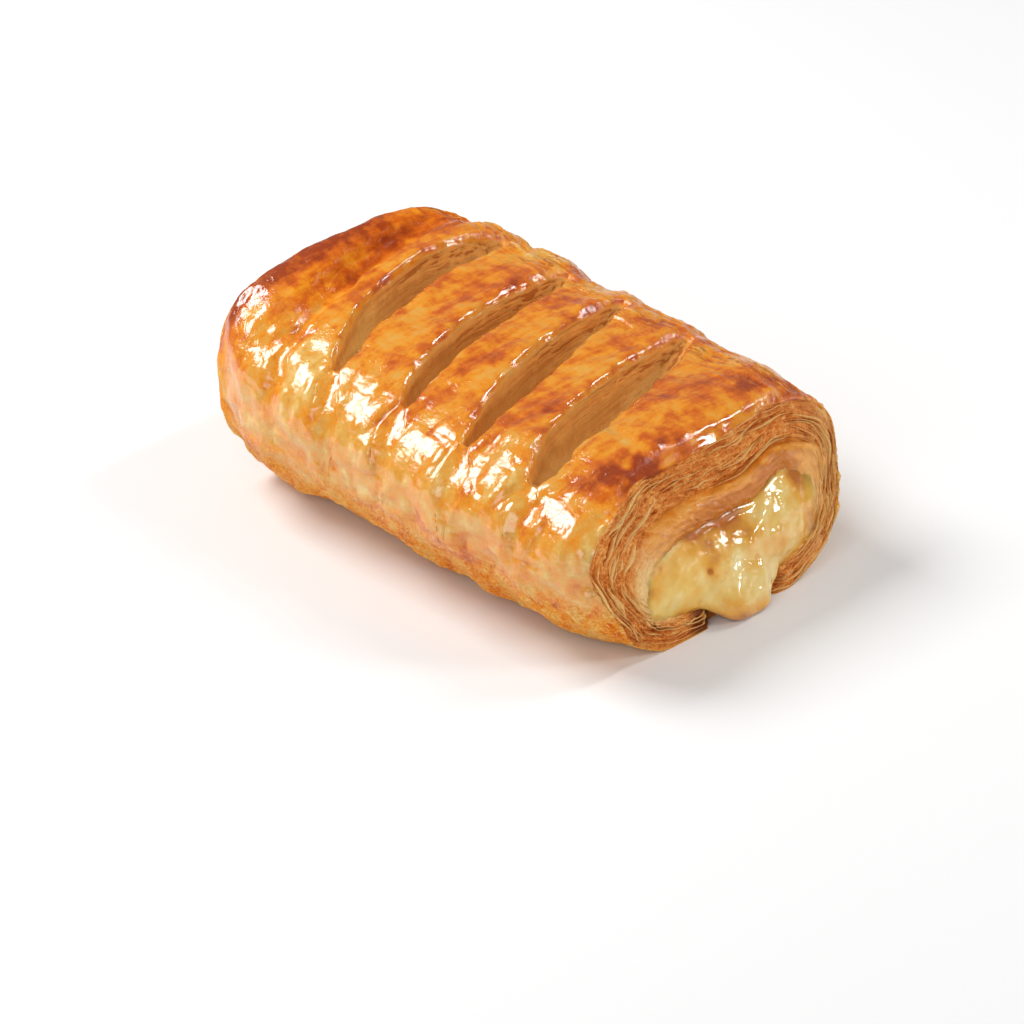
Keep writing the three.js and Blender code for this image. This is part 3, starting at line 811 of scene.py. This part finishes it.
def loose_sheets_piece(name, side, material):
    """Edges of single thin sheets that stand free of an end face.

    Each follows the outline at its own depth from the crust, drifts a little across the layers, rises
    from the face in half a sine and curls over; its section is a flat ellipse that thins to nothing at
    both ends.
    """
    rng = np.random.default_rng(NEAR_SHEETS_SEED if side > 0 else FAR_SHEETS_SEED)
    each = (LOOSE_SHEETS, 1)
    s = np.linspace(0.0, 1.0, SHEET_PLACES)[None, :]
    middle = rng.uniform(0.0, 2.0 * np.pi, each)
    length = rng.uniform(7.0, 26.0, each)
    depth_share = rng.uniform(0.03, 0.95, each)
    drift = rng.normal(0.0, 0.7, each)
    arch = rng.uniform(0.15, 1.0, each) ** 1.5
    curl = rng.normal(0.0, 0.45, each)
    sway = rng.uniform(0.0, 2.0 * np.pi, each)
    angle = (middle + (s - 0.5) * length / SHEET_TURN_RADIUS).ravel()
    edge = crust_edge(angle, side)
    outer = face_point(angle, edge, np.zeros((1, 1)), side)[:, 0]
    inner = face_point(angle, edge, np.ones((1, 1)), side)[:, 0]
    wall = np.linalg.norm(inner - outer, axis=-1).reshape(LOOSE_SHEETS, -1)
    top = ease(0.3, 0.85, np.sin(angle)).reshape(LOOSE_SHEETS, -1)
    reach = mix(np.minimum(wall * 0.86, 12.0), wall * 0.56, top)
    depth = depth_share * reach + drift * (s - 0.5) + 0.25 * np.sin(3.0 * np.pi * s + sway)
    part = np.clip(depth / wall, 0.015, 0.99).reshape(-1, 1)
    base = face_point(angle, edge, part, side)[:, 0]
    further = angle + 0.01
    run_on = face_point(further, crust_edge(further, side), part, side)[:, 0] - base
    inward = inner - outer
    out = np.cross(run_on, inward) * side
    out /= np.maximum(np.linalg.norm(out, axis=-1, keepdims=True), 1e-9)
    inward = inward / np.linalg.norm(inward, axis=-1, keepdims=True)
    taper = np.sin(np.pi * np.clip(s, 0.01, 0.99)) ** 0.6
    rise = (0.25 + arch * np.sin(np.pi * s)) * taper
    corner = np.linspace(0.0, 2.0 * np.pi, SHEET_CORNERS, endpoint=False)[None, None, :]
    up = mix(SHEET_ROOT, rise[..., None], 0.5 + 0.5 * np.cos(corner))
    aside = SHEET_HALF_THICKNESS * taper[..., None] * np.sin(corner)
    aside = aside + curl[..., None] * np.maximum(up, 0.0) ** 2 * 0.5
    base, out, inward = (value.reshape(LOOSE_SHEETS, SHEET_PLACES, 1, 3) for value in (base, out, inward))
    rings = base + out * up[..., None] + inward * aside[..., None]
    rings[..., 2] = np.maximum(rings[..., 2], FLOOR_GAP)
    if side < 0:
        rings = rings[:, :, ::-1]
    toast = np.broadcast_to(rng.uniform(0.25, 0.75, (LOOSE_SHEETS, 1, 1)), rings.shape[:3])
    # Darker towards the root where the sheet meets the face: painted shade
    sheet = np.broadcast_to(0.45 + 0.5 * ease(-0.4, 0.6, up), rings.shape[:3])
    none = np.zeros_like(toast)
    looks = dict(sheet=sheet, layered=none + 1.0, toast=toast, pale=none, lip=none, notch_darkening=none)
    return tube_piece(name, rings, looks, material)


# The melted cheese
CHEESE_COLUMNS = 340
CHEESE_GAP = 0.05
CHEESE_FLOOR_GAP = 0.15
CHEESE_FAR_RINGS = 70
CHEESE_INSIDE_RINGS = 14
CHEESE_MOUTH_RINGS = 200
MELTING_X = (56.0, 59.0)
MELTING_ROUNDS = 60
NEAR_RELIEF_X = (55.0, 59.0)
FAR_RELIEF_X = (-56.0, -60.0)
NOSE_RINGS = 14
# Places inside the roll, as parts of the way from the far end to the mouth
CHEESE_INSIDE = (0.2, 0.4, 0.6, 0.8, 0.9, 1.0)
# At the far end: rise over the end face, share of the hollow's outline
CHEESE_FAR = ((2.4, 0.02), (2.3, 0.3), (1.8, 0.62), (0.8, 0.88), (0.1, 1.0), (-0.6, 1.08), (-2.5, 1.0))
TONGUE_LEFT = -4.0
TONGUE_RIGHT = 15.0
TONGUE_EDGE = 5.0
TONGUE_X = 68.0
TONGUE_BACK_GAP = 0.9
# Toasted spots on its face: y, z, reach, strength
TOASTED = (
    (-5.0, 14.5, 0.9, 0.5),
    (-4.0, 15.0, 3.0, 0.2),
    (16.0, 15.5, 6.0, 0.2),
    (5.0, 21.5, 5.0, 0.5),
    (-5.0, 22.5, 5.0, 0.5),
    (28.0, 23.0, 3.0, 0.4),
)
# Outside the mouth: share of the outline, rise over the end face, part of the tongue's run, its height
CHEESE_MOUTH = (
    (1.12, -0.5, 0.0, 5.4),
    (1.03, 0.05, 0.03, 0.4),
    (0.92, 0.4, 0.85, 0.4),
    (0.78, 1.0, 1.0, 2.0),
    (0.6, 1.8, 0.95, 4.6),
    (0.36, 2.4, 0.75, 8.6),
    (0.12, 2.8, 0.6, 12.6),
    (0.02, 2.9, 0.57, 14.3),
)


def smooth_rings(rings, place):
    """Rings between given rings: a cubic curve through each four neighbours."""
    last = rings.shape[1] - 1
    start = np.minimum(place.astype(int), last - 1)
    part = (place - start)[None, :, None]
    a, b, c, d = (rings[:, np.clip(start + step, 0, last)] for step in (-1, 0, 1, 2))
    bend = (2.0 * a - 5.0 * b + 4.0 * c - d) * part ** 2 + (3.0 * b - a - 3.0 * c + d) * part ** 3
    return 0.5 * (2.0 * b + (c - a) * part + bend)


def cheese_rings(angle):
    """Rings of the cheese from its far nose through the hollow to its near nose.

    Outside the hollow they shrink from its outline to a nose; in the tongue they go down to the floor.
    """
    y, z = hollow_outline(angle, CHEESE_GAP)
    y_mouth, z_mouth = mouth_outline(angle, NEAR)
    x_far = far_face_x(y, z) + MOUTH_INSET
    x_near = near_face_x(y_mouth, z_mouth) - MOUTH_INSET
    tongue = ease(TONGUE_LEFT - TONGUE_EDGE, TONGUE_LEFT + TONGUE_EDGE, y_mouth)
    tongue = tongue * ease(TONGUE_RIGHT + TONGUE_EDGE, TONGUE_RIGHT - TONGUE_EDGE, y_mouth)
    tongue = np.where(np.sin(angle) < 0, tongue, 0.0)
    rings = []
    for rise, share in CHEESE_FAR:
        y_far, z_far = mix(HOLLOW_Y, y, share), mix(HOLLOW_Z, z, share)
        rings.append((far_face_x(y_far, z_far) - rise, y_far, z_far))
    for part in CHEESE_INSIDE:
        opened = ease(0.85, 1.0, part)
        rings.append((mix(x_far, x_near, part), mix(y, y_mouth, opened), mix(z, z_mouth, opened)))
    tongue_back = NEAR_FOOT_X - NOTCH_DEPTH + TONGUE_BACK_GAP
    for share, rise, tongue_out, tongue_height in CHEESE_MOUTH:
        y_plain, z_plain = mix(HOLLOW_Y, y_mouth, share), mix(HOLLOW_Z, z_mouth, share)
        x_plain = near_face_x(y_plain, z_plain) + notch(y_plain, z_plain) + rise
        drawn = tongue * ease(0.0, 0.45, share)
        x = mix(x_plain, mix(tongue_back, TONGUE_X, tongue_out), drawn)
        across = mix(share, (1.0 + share) / 2.0, drawn)
        rings.append((x, mix(HOLLOW_Y, y_mouth, across), mix(z_plain, tongue_height, drawn)))
    return np.stack([np.stack(ring, axis=-1) for ring in rings], axis=1)


def melted(points):
    """The grid with its near end averaged with its neighbours, many times over, until it looks melted."""
    melt = ease(*MELTING_X, points[:, 1:-1, :1]) * 0.5
    for _ in range(MELTING_ROUNDS):
        beside = np.roll(points, 1, axis=0) + np.roll(points, -1, axis=0)
        mean = (beside[:, 1:-1] + points[:, :-2] + points[:, 2:]) / 4.0
        points[:, 1:-1] = mix(points[:, 1:-1], mean, melt)
    points[..., 2] = np.maximum(points[..., 2], CHEESE_FLOOR_GAP)
    return points


def cheese_relief(points, place, inside):
    """Random hills, bubbles and pores on both ends of the cheese in mm, calm at the mouth and the nose."""
    ends = ease(*NEAR_RELIEF_X, points[..., 0]) + ease(*FAR_RELIEF_X, points[..., 0])
    flow = stretch(points, 1.0, 1.0, 0.6)
    relief = 0.8 * hills(flow, 8.0, 41) + 0.5 * hills(flow, 4.2, 42) + 0.09 * hills(points, 2.0, 43)
    relief += 0.03 * hills(points, 1.0, 47)
    middle, _, plate = flakes(points, 3.0, 44)
    pores = np.exp(-(middle / 0.2) ** 2) * (plate > 0.8)
    bubbles = np.clip(1.0 - (middle / 0.4) ** 2, 0.0, 1.0) * (plate < 0.35)
    relief = (relief + 0.25 * bubbles - 0.4 * pores) * ends * ease(0.0, 4.0, points[..., 2])
    relief *= 1.0 - ease(inside + 5.0, inside + 6.0, place) * ease(inside + 8.2, inside + 6.6, place)
    rings = points.shape[1]
    calm = ease(rings - float(NOSE_RINGS), rings - 2.0, np.arange(rings))[None, :]
    return mix(relief, relief[:, -NOSE_RINGS:].mean(), calm)


def cheese_piece(material):
    """The melted cheese: it fills the hollow, bulges from the mouth and runs out in a tongue.

    A smooth grid through its rings is melted, and its relief stands along the grid's normal.
    """
    control = cheese_rings(around_angles(CHEESE_COLUMNS, 1.0))
    inside = len(CHEESE_FAR)
    place = np.concatenate([
        np.linspace(0.0, inside - 1.0, CHEESE_FAR_RINGS)[:-1],
        np.linspace(inside - 1.0, inside + 4.0, CHEESE_INSIDE_RINGS)[:-1],
        np.linspace(inside + 4.0, control.shape[1] - 1.0, CHEESE_MOUTH_RINGS)])
    points = melted(smooth_rings(control, place))
    points = points + grid_normals(points, False) * cheese_relief(points, place, inside)[..., None]
    points[..., 2] = np.maximum(points[..., 2], CHEESE_FLOOR_GAP)
    y, z = points[..., 1], points[..., 2]
    toast = 0.32 + 0.28 * hills(points, 8.0, 45) + 0.15 * hills(points, 3.0, 46)
    toast += 0.32 * ease(7.0, 0.0, z) + 0.25 * ease(inside + 9.0, inside + 7.0, place) * (place > inside)
    for spot_y, spot_z, run, strength in TOASTED:
        toast += strength * np.exp(-(((y - spot_y) ** 2 + (z - spot_z) ** 2) / run ** 2))
    wet = ease(-12.0, 8.0, y + 5.0 * hills(points, 6.0, 48))
    looks = dict(toast=np.clip(toast, 0.0, 1.0), wet=wet)
    poles = (points[:, 0].mean(axis=0), points[:, -1].mean(axis=0))
    return grid_piece("cheese", points, looks, material, poles)


# Materials
CREAM = (0.82, 0.55, 0.18, 1.0)
PALE_GOLD = (0.74, 0.38, 0.065, 1.0)
GOLDEN = (0.8, 0.28, 0.012, 1.0)
DEEP_GOLD = (0.64, 0.13, 0.006, 1.0)
RED_BROWN = (0.33, 0.045, 0.005, 1.0)
# Dark colour low in the notch at the near end
NOTCH_DARK = (0.17, 0.04, 0.01, 1.0)
# Painted shade in the gaps between sheets on the end faces
LAYER_GAP_SHADE = (0.36, 0.072, 0.01, 1.0)
LAYER_BROWN = (0.68, 0.2, 0.031, 1.0)
LAYER_TAN = (0.79, 0.34, 0.077, 1.0)
LAYER_EDGE = (0.88, 0.54, 0.2, 1.0)
LIP_GOLD = (0.84, 0.38, 0.062, 1.0)
LIP_TAN = (0.8, 0.3, 0.025, 1.0)
LIP_BROWN = (0.58, 0.165, 0.006, 1.0)
INNER_DOUGH = (0.87, 0.63, 0.27, 1.0)
CUT_WALL = (0.52, 0.18, 0.03, 1.0)
CUT_WALL_LIGHT = (0.68, 0.3, 0.065, 1.0)
# Painted shade in the gaps between sheets on the cut walls and the right shoulder
SHEET_GAP_SHADE = (0.36, 0.085, 0.012, 1.0)
PALE_CHEESE = (0.91, 0.75, 0.36, 1.0)
YELLOW_CHEESE = (0.83, 0.56, 0.16, 1.0)
GOLDEN_CHEESE = (0.79, 0.4, 0.055, 1.0)
TOASTED_CHEESE = (0.5, 0.15, 0.015, 1.0)
# Colours by how baked or toasted a place is, or how far a sheet's edge stands out; gaps get painted shade
CRUST_COLOURS = ((0.0, CREAM), (0.2, PALE_GOLD), (0.46, GOLDEN), (0.7, DEEP_GOLD), (1.0, RED_BROWN))
LIP_COLOURS = ((0.1, LIP_GOLD), (0.5, LIP_TAN), (1.0, LIP_BROWN))
LAYER_COLOURS = ((0.1, LAYER_GAP_SHADE), (0.45, LAYER_BROWN), (0.62, LAYER_TAN), (0.95, LAYER_EDGE))
CUT_WALL_COLOURS = ((0.0, CUT_WALL), (1.0, CUT_WALL_LIGHT))
CHEESE_COLOURS = ((0.1, PALE_CHEESE), (0.42, YELLOW_CHEESE), (0.7, GOLDEN_CHEESE), (1.0, TOASTED_CHEESE))


def set_inputs(tree, node, inputs):
    """Gives each named input of a node a constant or a link."""
    for label, value in inputs.items():
        if isinstance(value, bpy.types.NodeSocket):
            tree.links.new(value, node.inputs[label])
        else:
            node.inputs[label].default_value = value


def add_node(tree, kind, inputs=None, **settings):
    """Adds a node, sets it up and gives it its inputs."""
    node = tree.nodes.new(kind)
    for label, value in settings.items():
        setattr(node, label, value)
    set_inputs(tree, node, inputs or {})
    return node


def ramp(tree, value, stops):
    """Colours at given places between 0 and 1, blended in between."""
    node = add_node(tree, "ShaderNodeValToRGB", {0: value})
    while len(node.color_ramp.elements) < len(stops):
        node.color_ramp.elements.new(0.5)
    for element, (place, colour) in zip(node.color_ramp.elements, stops):
        element.position = place
        element.color = colour
    return node.outputs["Color"]


def arithmetic(tree, operation, a, b):
    """Two values worked on together, of which at least one changes over the surface."""
    return add_node(tree, "ShaderNodeMath", {0: a, 1: b}, operation=operation).outputs[0]


def plus(tree, a, b):
    """The sum of two values."""
    return arithmetic(tree, "ADD", a, b)


def minus(tree, a, b):
    """The difference of two values."""
    return arithmetic(tree, "SUBTRACT", a, b)


def times(tree, a, b):
    """The product of two values."""
    return arithmetic(tree, "MULTIPLY", a, b)


def vectors(tree, operation, *values):
    """Vectors worked on together, axis by axis."""
    return add_node(tree, "ShaderNodeVectorMath", dict(enumerate(values)), operation=operation).outputs[0]


def map_value(tree, value, low, high, to_low, to_high):
    """A value moved from one range to another and held inside it."""
    inputs = {"Value": value, "From Min": low, "From Max": high, "To Min": to_low, "To Max": to_high}
    return add_node(tree, "ShaderNodeMapRange", inputs).outputs["Result"]


def mix_colour(tree, part, a, b):
    """Two colours blended by a value that changes over the surface."""
    node = add_node(tree, "ShaderNodeMix", {0: part, 6: a, 7: b}, data_type="RGBA")
    return node.outputs[2]


def noise(tree, vector, scale, detail=3.0, roughness=0.55):
    """Soft random grain."""
    inputs = {"Vector": vector, "Scale": scale, "Detail": detail, "Roughness": roughness}
    return add_node(tree, "ShaderNodeTexNoise", inputs).outputs["Fac"]


def bumped(tree, height, strength, distance):
    """A normal tilted by a height that changes over the surface."""
    inputs = {"Height": height, "Strength": strength, "Distance": distance}
    return add_node(tree, "ShaderNodeBump", inputs).outputs["Normal"]


def number_on_surface(tree, label):
    """A number stored on the piece's vertices."""
    return add_node(tree, "ShaderNodeAttribute", attribute_name=label).outputs["Fac"]


def dough_grain_group():
    """Grain of baked dough on the object's own coordinates: mottle, crumb, flecks, cracks and blisters."""
    group = bpy.data.node_groups.new("dough_grain", "ShaderNodeTree")
    group.interface.new_socket("Vector", in_out="INPUT", socket_type="NodeSocketVector")
    for label in ("Mottle", "Crumb", "Cracks", "Blisters", "Flecks"):
        group.interface.new_socket(label, in_out="OUTPUT", socket_type="NodeSocketFloat")
    place = group.nodes.new("NodeGroupInput").outputs["Vector"]
    bend = add_node(group, "ShaderNodeTexNoise", {"Vector": place, "Scale": 300.0, "Detail": 2.0})
    wavy = vectors(group, "MULTIPLY", bend.outputs["Color"], (0.004, 0.004, 0.004))
    moved = vectors(group, "ADD", place, wavy)
    cells = add_node(
        group, "ShaderNodeTexVoronoi", {"Vector": moved, "Scale": 330.0}, feature="DISTANCE_TO_EDGE")
    mottle = noise(group, place, 240.0, 5.0, 0.62)
    flecks = noise(group, moved, 1500.0, 2.0, 0.6)
    spots = noise(group, moved, 1000.0, 1.0, 0.5)
    set_inputs(group, group.nodes.new("NodeGroupOutput"), {
        "Mottle": map_value(group, mottle, 0.32, 0.68, 0.0, 1.0),
        "Crumb": noise(group, place, 900.0, 3.0, 0.6),
        "Cracks": map_value(group, cells.outputs["Distance"], 0.0, 0.12, 1.0, 0.0),
        "Blisters": map_value(group, spots, 0.56, 0.7, 0.0, 1.0),
        "Flecks": map_value(group, flecks, 0.34, 0.66, 0.0, 1.0),
    })
    return group


def new_material(name):
    """A material with one Principled shader."""
    material = bpy.data.materials.new(name)
    material.use_nodes = True
    return material, material.node_tree, material.node_tree.nodes["Principled BSDF"]


def place_and_grain(tree, dough_grain):
    """The object's own coordinates and the grain of the dough there."""
    place = add_node(tree, "ShaderNodeTexCoord").outputs["Object"]
    grain = add_node(tree, "ShaderNodeGroup", {"Vector": place}, node_tree=dough_grain)
    return place, grain.outputs


def cut_sheets(tree, place):
    """Lines of thin sheets on the walls of the cuts from -1 to 1, drawn out along each cut."""
    axes = add_node(tree, "ShaderNodeSeparateXYZ", {0: place}).outputs
    drawn_out = add_node(tree, "ShaderNodeCombineXYZ", {
        "X": plus(tree, times(tree, axes["X"], 0.8), times(tree, axes["Y"], 0.2)),
        "Y": times(tree, axes["Y"], 0.05),
        "Z": times(tree, number_on_surface(tree, "wall_depth"), MM),
    }).outputs[0]
    lines = map_value(tree, noise(tree, drawn_out, 1200.0, 1.0), 0.38, 0.62, -1.0, 1.0)
    return times(tree, lines, number_on_surface(tree, "wall_sheets"))


def shoulder_strands(tree, place, mottle):
    """Wavy lines of folded sheets on the right shoulder from -1 to 1, drawn out along the roll."""
    drawn_out = vectors(tree, "MULTIPLY", place, (0.12, 1.0, 1.0))
    wavy = vectors(tree, "MULTIPLY_ADD", mottle, (0.0, 0.0016, 0.0016), drawn_out)
    lines = map_value(tree, noise(tree, wavy, 900.0, 3.0), 0.38, 0.62, -1.0, 1.0)
    return times(tree, lines, number_on_surface(tree, "folds"))


def glazed_crust(dough_grain):
    """Egg-glazed crust: colour by bake, matte cut walls, gloss in broken patches over the top."""
    material, tree, shader = new_material("glazed_crust")
    place, grain = place_and_grain(tree, dough_grain)
    glaze = number_on_surface(tree, "glaze")
    flaky = number_on_surface(tree, "flaky")
    mottle = map_value(tree, grain["Mottle"], 0.0, 1.0, -0.2, 0.22)
    mottle = times(tree, mottle, map_value(tree, flaky, 0.0, 1.0, 1.0, 0.25))
    bake = plus(tree, number_on_surface(tree, "bake"), mottle)
    streaks = noise(tree, vectors(tree, "MULTIPLY", place, (1.0, 0.22, 0.4)), 800.0, 3.0, 0.6)
    bake = plus(tree, bake, map_value(tree, streaks, 0.3, 0.7, -0.1, 0.1))
    cracks = times(tree, grain["Cracks"], flaky)
    specks = times(tree, map_value(tree, grain["Crumb"], 0.36, 0.64, -0.11, 0.11), flaky)
    specks = plus(tree, specks, times(tree, cracks, 0.14))
    skin = ramp(tree, plus(tree, bake, specks), CRUST_COLOURS)
    dark_flecks = times(tree, map_value(tree, grain["Flecks"], 0.0, 0.45, 0.75, 0.0), flaky)
    light_flecks = times(tree, map_value(tree, grain["Flecks"], 0.6, 1.0, 0.0, 0.75), flaky)
    skin = mix_colour(tree, dark_flecks, skin, DEEP_GOLD)
    skin = mix_colour(tree, light_flecks, skin, LAYER_EDGE)
    wall_colour = ramp(tree, grain["Mottle"], CUT_WALL_COLOURS)
    # Walls go towards cream where pale: a pale patch low in one far cut, and painted light deep in the
    # cuts
    pale_wall = mix_colour(tree, number_on_surface(tree, "pale"), wall_colour, CREAM)
    colour = mix_colour(tree, number_on_surface(tree, "wall"), skin, pale_wall)
    lines = plus(tree, cut_sheets(tree, place), shoulder_strands(tree, place, grain["Mottle"]))
    # Dark lines between sheets on the cut walls and the right shoulder: painted shade in the gaps
    colour = mix_colour(tree, map_value(tree, lines, -0.3, -1.0, 0.0, 0.8), colour, SHEET_GAP_SHADE)
    colour = mix_colour(tree, map_value(tree, lines, 0.3, 1.0, 0.0, 0.7), colour, LAYER_TAN)
    gloss = times(tree, glaze, map_value(tree, grain["Mottle"], 0.1, 0.6, 0.7, 1.0))
    rough = plus(tree, map_value(tree, glaze, 0.2, 0.9, 1.1, 0.35), times(tree, flaky, 0.7))
    blisters = times(tree, grain["Blisters"], map_value(tree, flaky, 0.0, 1.0, 0.12, 0.3))
    relief = plus(tree, times(tree, grain["Crumb"], rough), blisters)
    relief = minus(tree, relief, times(tree, cracks, 0.4))
    relief = plus(tree, relief, times(tree, lines, 0.5))
    relief = plus(tree, relief, times(tree, times(tree, grain["Flecks"], flaky), 0.25))
    set_inputs(tree, shader, {
        "Base Color": colour,
        "Roughness": map_value(tree, gloss, 0.2, 0.8, 0.5, 0.065),
        "Coat Weight": times(tree, gloss, 0.25),
        "Coat Roughness": 0.07,
        "Specular IOR Level": map_value(tree, glaze, 0.25, 0.9, 0.06, 0.9),
        "Normal": bumped(tree, relief, 0.35, 0.0006),
        "Subsurface Weight": 0.05,
        "Subsurface Radius": (1.0, 0.45, 0.15),
        "Subsurface Scale": 0.0015,
    })
    return material


def layered_dough(dough_grain):
    """Edges of the folded sheets: light on their edges, painted shade in the gaps, glossy on the lip."""
    material, tree, shader = new_material("layered_dough")
    _, grain = place_and_grain(tree, dough_grain)
    lip = number_on_surface(tree, "lip")
    mottle = map_value(tree, grain["Mottle"], 0.0, 1.0, -0.12, 0.12)
    flecks = map_value(tree, grain["Flecks"], 0.0, 1.0, -0.16, 0.16)
    plain = ramp(tree, plus(tree, number_on_surface(tree, "toast"), mottle), LIP_COLOURS)
    sheet = plus(tree, plus(tree, number_on_surface(tree, "sheet"), mottle), flecks)
    edges = ramp(tree, sheet, LAYER_COLOURS)
    colour = mix_colour(tree, number_on_surface(tree, "layered"), plain, edges)
    # Towards pale dough where pale; on the right wall this is partly painted light
    colour = mix_colour(tree, times(tree, number_on_surface(tree, "pale"), 0.66), colour, INNER_DOUGH)
    set_inputs(tree, shader, {
        # Darker low in the notch at the near end
        "Base Color": mix_colour(tree, number_on_surface(tree, "notch_darkening"), colour, NOTCH_DARK),
        "Roughness": map_value(tree, lip, 0.0, 0.7, 0.5, 0.14),
        "Coat Weight": times(tree, lip, 0.12),
        "Coat Roughness": 0.06,
        "Specular IOR Level": map_value(tree, lip, 0.1, 0.8, 0.12, 0.5),
        "Normal": bumped(tree, grain["Flecks"], 0.35, 0.0003),
        "Subsurface Weight": 0.1,
        "Subsurface Radius": (1.0, 0.5, 0.2),
        "Subsurface Scale": 0.0015,
    })
    return material


def melted_cheese(dough_grain):
    """Melted cheese: pale yellow, soft inside, wet gloss, toasted in spots."""
    material, tree, shader = new_material("melted_cheese")
    _, grain = place_and_grain(tree, dough_grain)
    wet = number_on_surface(tree, "wet")
    toast = plus(tree, number_on_surface(tree, "toast"), times(tree, grain["Mottle"], 0.2))
    dull = map_value(tree, grain["Mottle"], 0.0, 1.0, 0.3, 0.42)
    coat = times(tree, map_value(tree, grain["Mottle"], 0.0, 1.0, 0.8, 0.4), wet)
    set_inputs(tree, shader, {
        "Base Color": ramp(tree, toast, CHEESE_COLOURS),
        "Roughness": minus(tree, dull, times(tree, wet, 0.22)),
        "Coat Weight": times(tree, coat, map_value(tree, toast, 0.45, 0.9, 1.0, 0.15)),
        "Coat Roughness": 0.03,
        "Specular IOR Level": map_value(tree, wet, 0.0, 1.0, 0.3, 0.8),
        "Normal": bumped(tree, grain["Crumb"], 0.12, 0.0004),
        "Subsurface Weight": 0.5,
        "Subsurface Radius": (1.0, 0.85, 0.5),
        "Subsurface Scale": 0.003,
    })
    return material


# Floor, light and camera
CAMERA_AZIMUTH = np.radians(46.0)
CAMERA_ELEVATION = np.radians(30.6)
CAMERA_DISTANCE = 1.9
CLIP_END = 20.0
PIXELS_PER_MM = 4.28
FRAME_PIXELS = 1024
SENSOR = 36.0
LOOK_AT = np.array([0.0, 0.0, 0.02])
LOOK_ASIDE = -0.00521
LOOK_UP = -0.01589
ROOM_WHITE = (1.0, 1.0, 1.0, 1.0)
ROOM_STRENGTH = 0.18
FLOOR_HALF = 6.0
FLOOR_WHITE = (0.9, 0.9, 0.9, 1.0)
FLOOR_ROUGHNESS = 0.7
# Soft lights: direction from the roll, distance, width, length, power
LIGHTS = {
    "key_softbox": ((-0.63, -0.26, 0.73), 0.85, 0.34, 0.5, 6.4),
    "left_fill": ((0.4, -0.75, 0.52), 1.2, 0.8, 0.8, 5.0),
    "rim_light": ((0.25, 0.62, 0.72), 1.0, 0.09, 0.4, 2.3),
    "front_glints": ((0.76, 0.52, 0.4), 1.0, 0.2, 0.2, 2.5),
}


def photo_camera():
    """A long lens from the photo's side and height."""
    flat = np.cos(CAMERA_ELEVATION)
    sine = np.sin(CAMERA_AZIMUTH)
    cosine = np.cos(CAMERA_AZIMUTH)
    back = np.array([sine * flat, -cosine * flat, np.sin(CAMERA_ELEVATION)])
    aside = np.array([cosine, sine, 0.0])
    up = np.cross(back, aside)
    place = LOOK_AT + LOOK_ASIDE * aside + LOOK_UP * up + CAMERA_DISTANCE * back
    data = bpy.data.cameras.new("photo_camera")
    data.sensor_width = SENSOR
    data.lens = PIXELS_PER_MM / MM * CAMERA_DISTANCE / FRAME_PIXELS * SENSOR
    data.clip_end = CLIP_END
    camera = bpy.data.objects.new("photo_camera", data)
    turn = Matrix((aside, up, back)).transposed().to_4x4()
    camera.matrix_world = Matrix.Translation(Vector(place)) @ turn
    bpy.context.scene.collection.objects.link(camera)
    bpy.context.scene.camera = camera


def soft_light(name, direction, distance, width, length, power):
    """A white soft light that looks at the roll from a direction; its length lies across the roll."""
    data = bpy.data.lights.new(name, "AREA")
    data.shape = "RECTANGLE"
    data.size = width
    data.size_y = length
    data.energy = power
    light = bpy.data.objects.new(name, data)
    toward = Vector(direction).normalized()
    across = Vector((0.0, 1.0, 0.0))
    across = (across - toward * across.dot(toward)).normalized()
    turn = Matrix((across.cross(toward), across, toward)).transposed().to_4x4()
    light.matrix_world = Matrix.Translation(Vector(LOOK_AT) + toward * distance) @ turn
    bpy.context.scene.collection.objects.link(light)


def white_surroundings():
    """An even white room."""
    world = bpy.data.worlds.new("white_room")
    world.use_nodes = True
    background = world.node_tree.nodes["Background"]
    set_inputs(world.node_tree, background, {"Color": ROOM_WHITE, "Strength": ROOM_STRENGTH})
    bpy.context.scene.world = world


def pale_floor():
    """A flat square floor just under the roll."""
    mesh = bpy.data.meshes.new("floor")
    sides = (-FLOOR_HALF, FLOOR_HALF)
    mesh.from_pydata([(x, y, 0.0) for x, y in product(sides, sides)], [], [(0, 2, 3, 1)])
    material, tree, shader = new_material("pale_floor")
    set_inputs(tree, shader, {"Base Color": FLOOR_WHITE, "Roughness": FLOOR_ROUGHNESS})
    mesh.materials.append(material)
    floor = bpy.data.objects.new("floor", mesh)
    bpy.context.scene.collection.objects.link(floor)


dough_grain = dough_grain_group()
crust_material = glazed_crust(dough_grain)
layer_material = layered_dough(dough_grain)
cheese_material = melted_cheese(dough_grain)

crust = crust_piece(crust_material)
near_end = end_piece("pastry_near_layers", NEAR, NEAR_COLUMNS, NEAR_FACE_RINGS, layer_material)
far_end = end_piece("pastry_far_layers", FAR, FAR_COLUMNS, FAR_FACE_RINGS, layer_material)
near_sheets = loose_sheets_piece("pastry_near_sheets", NEAR, layer_material)
far_sheets = loose_sheets_piece("pastry_far_sheets", FAR, layer_material)
cheese = cheese_piece(cheese_material)
pastry = (crust, near_end, far_end, near_sheets, far_sheets)
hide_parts("pastry")
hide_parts("cheese_filling")
for piece in pastry + (cheese,):
    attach(piece, "root")

photo_camera()
white_surroundings()
for name, light in LIGHTS.items():
    soft_light(name, *light)
pale_floor()
bpy.context.scene.view_settings.view_transform = "Standard"
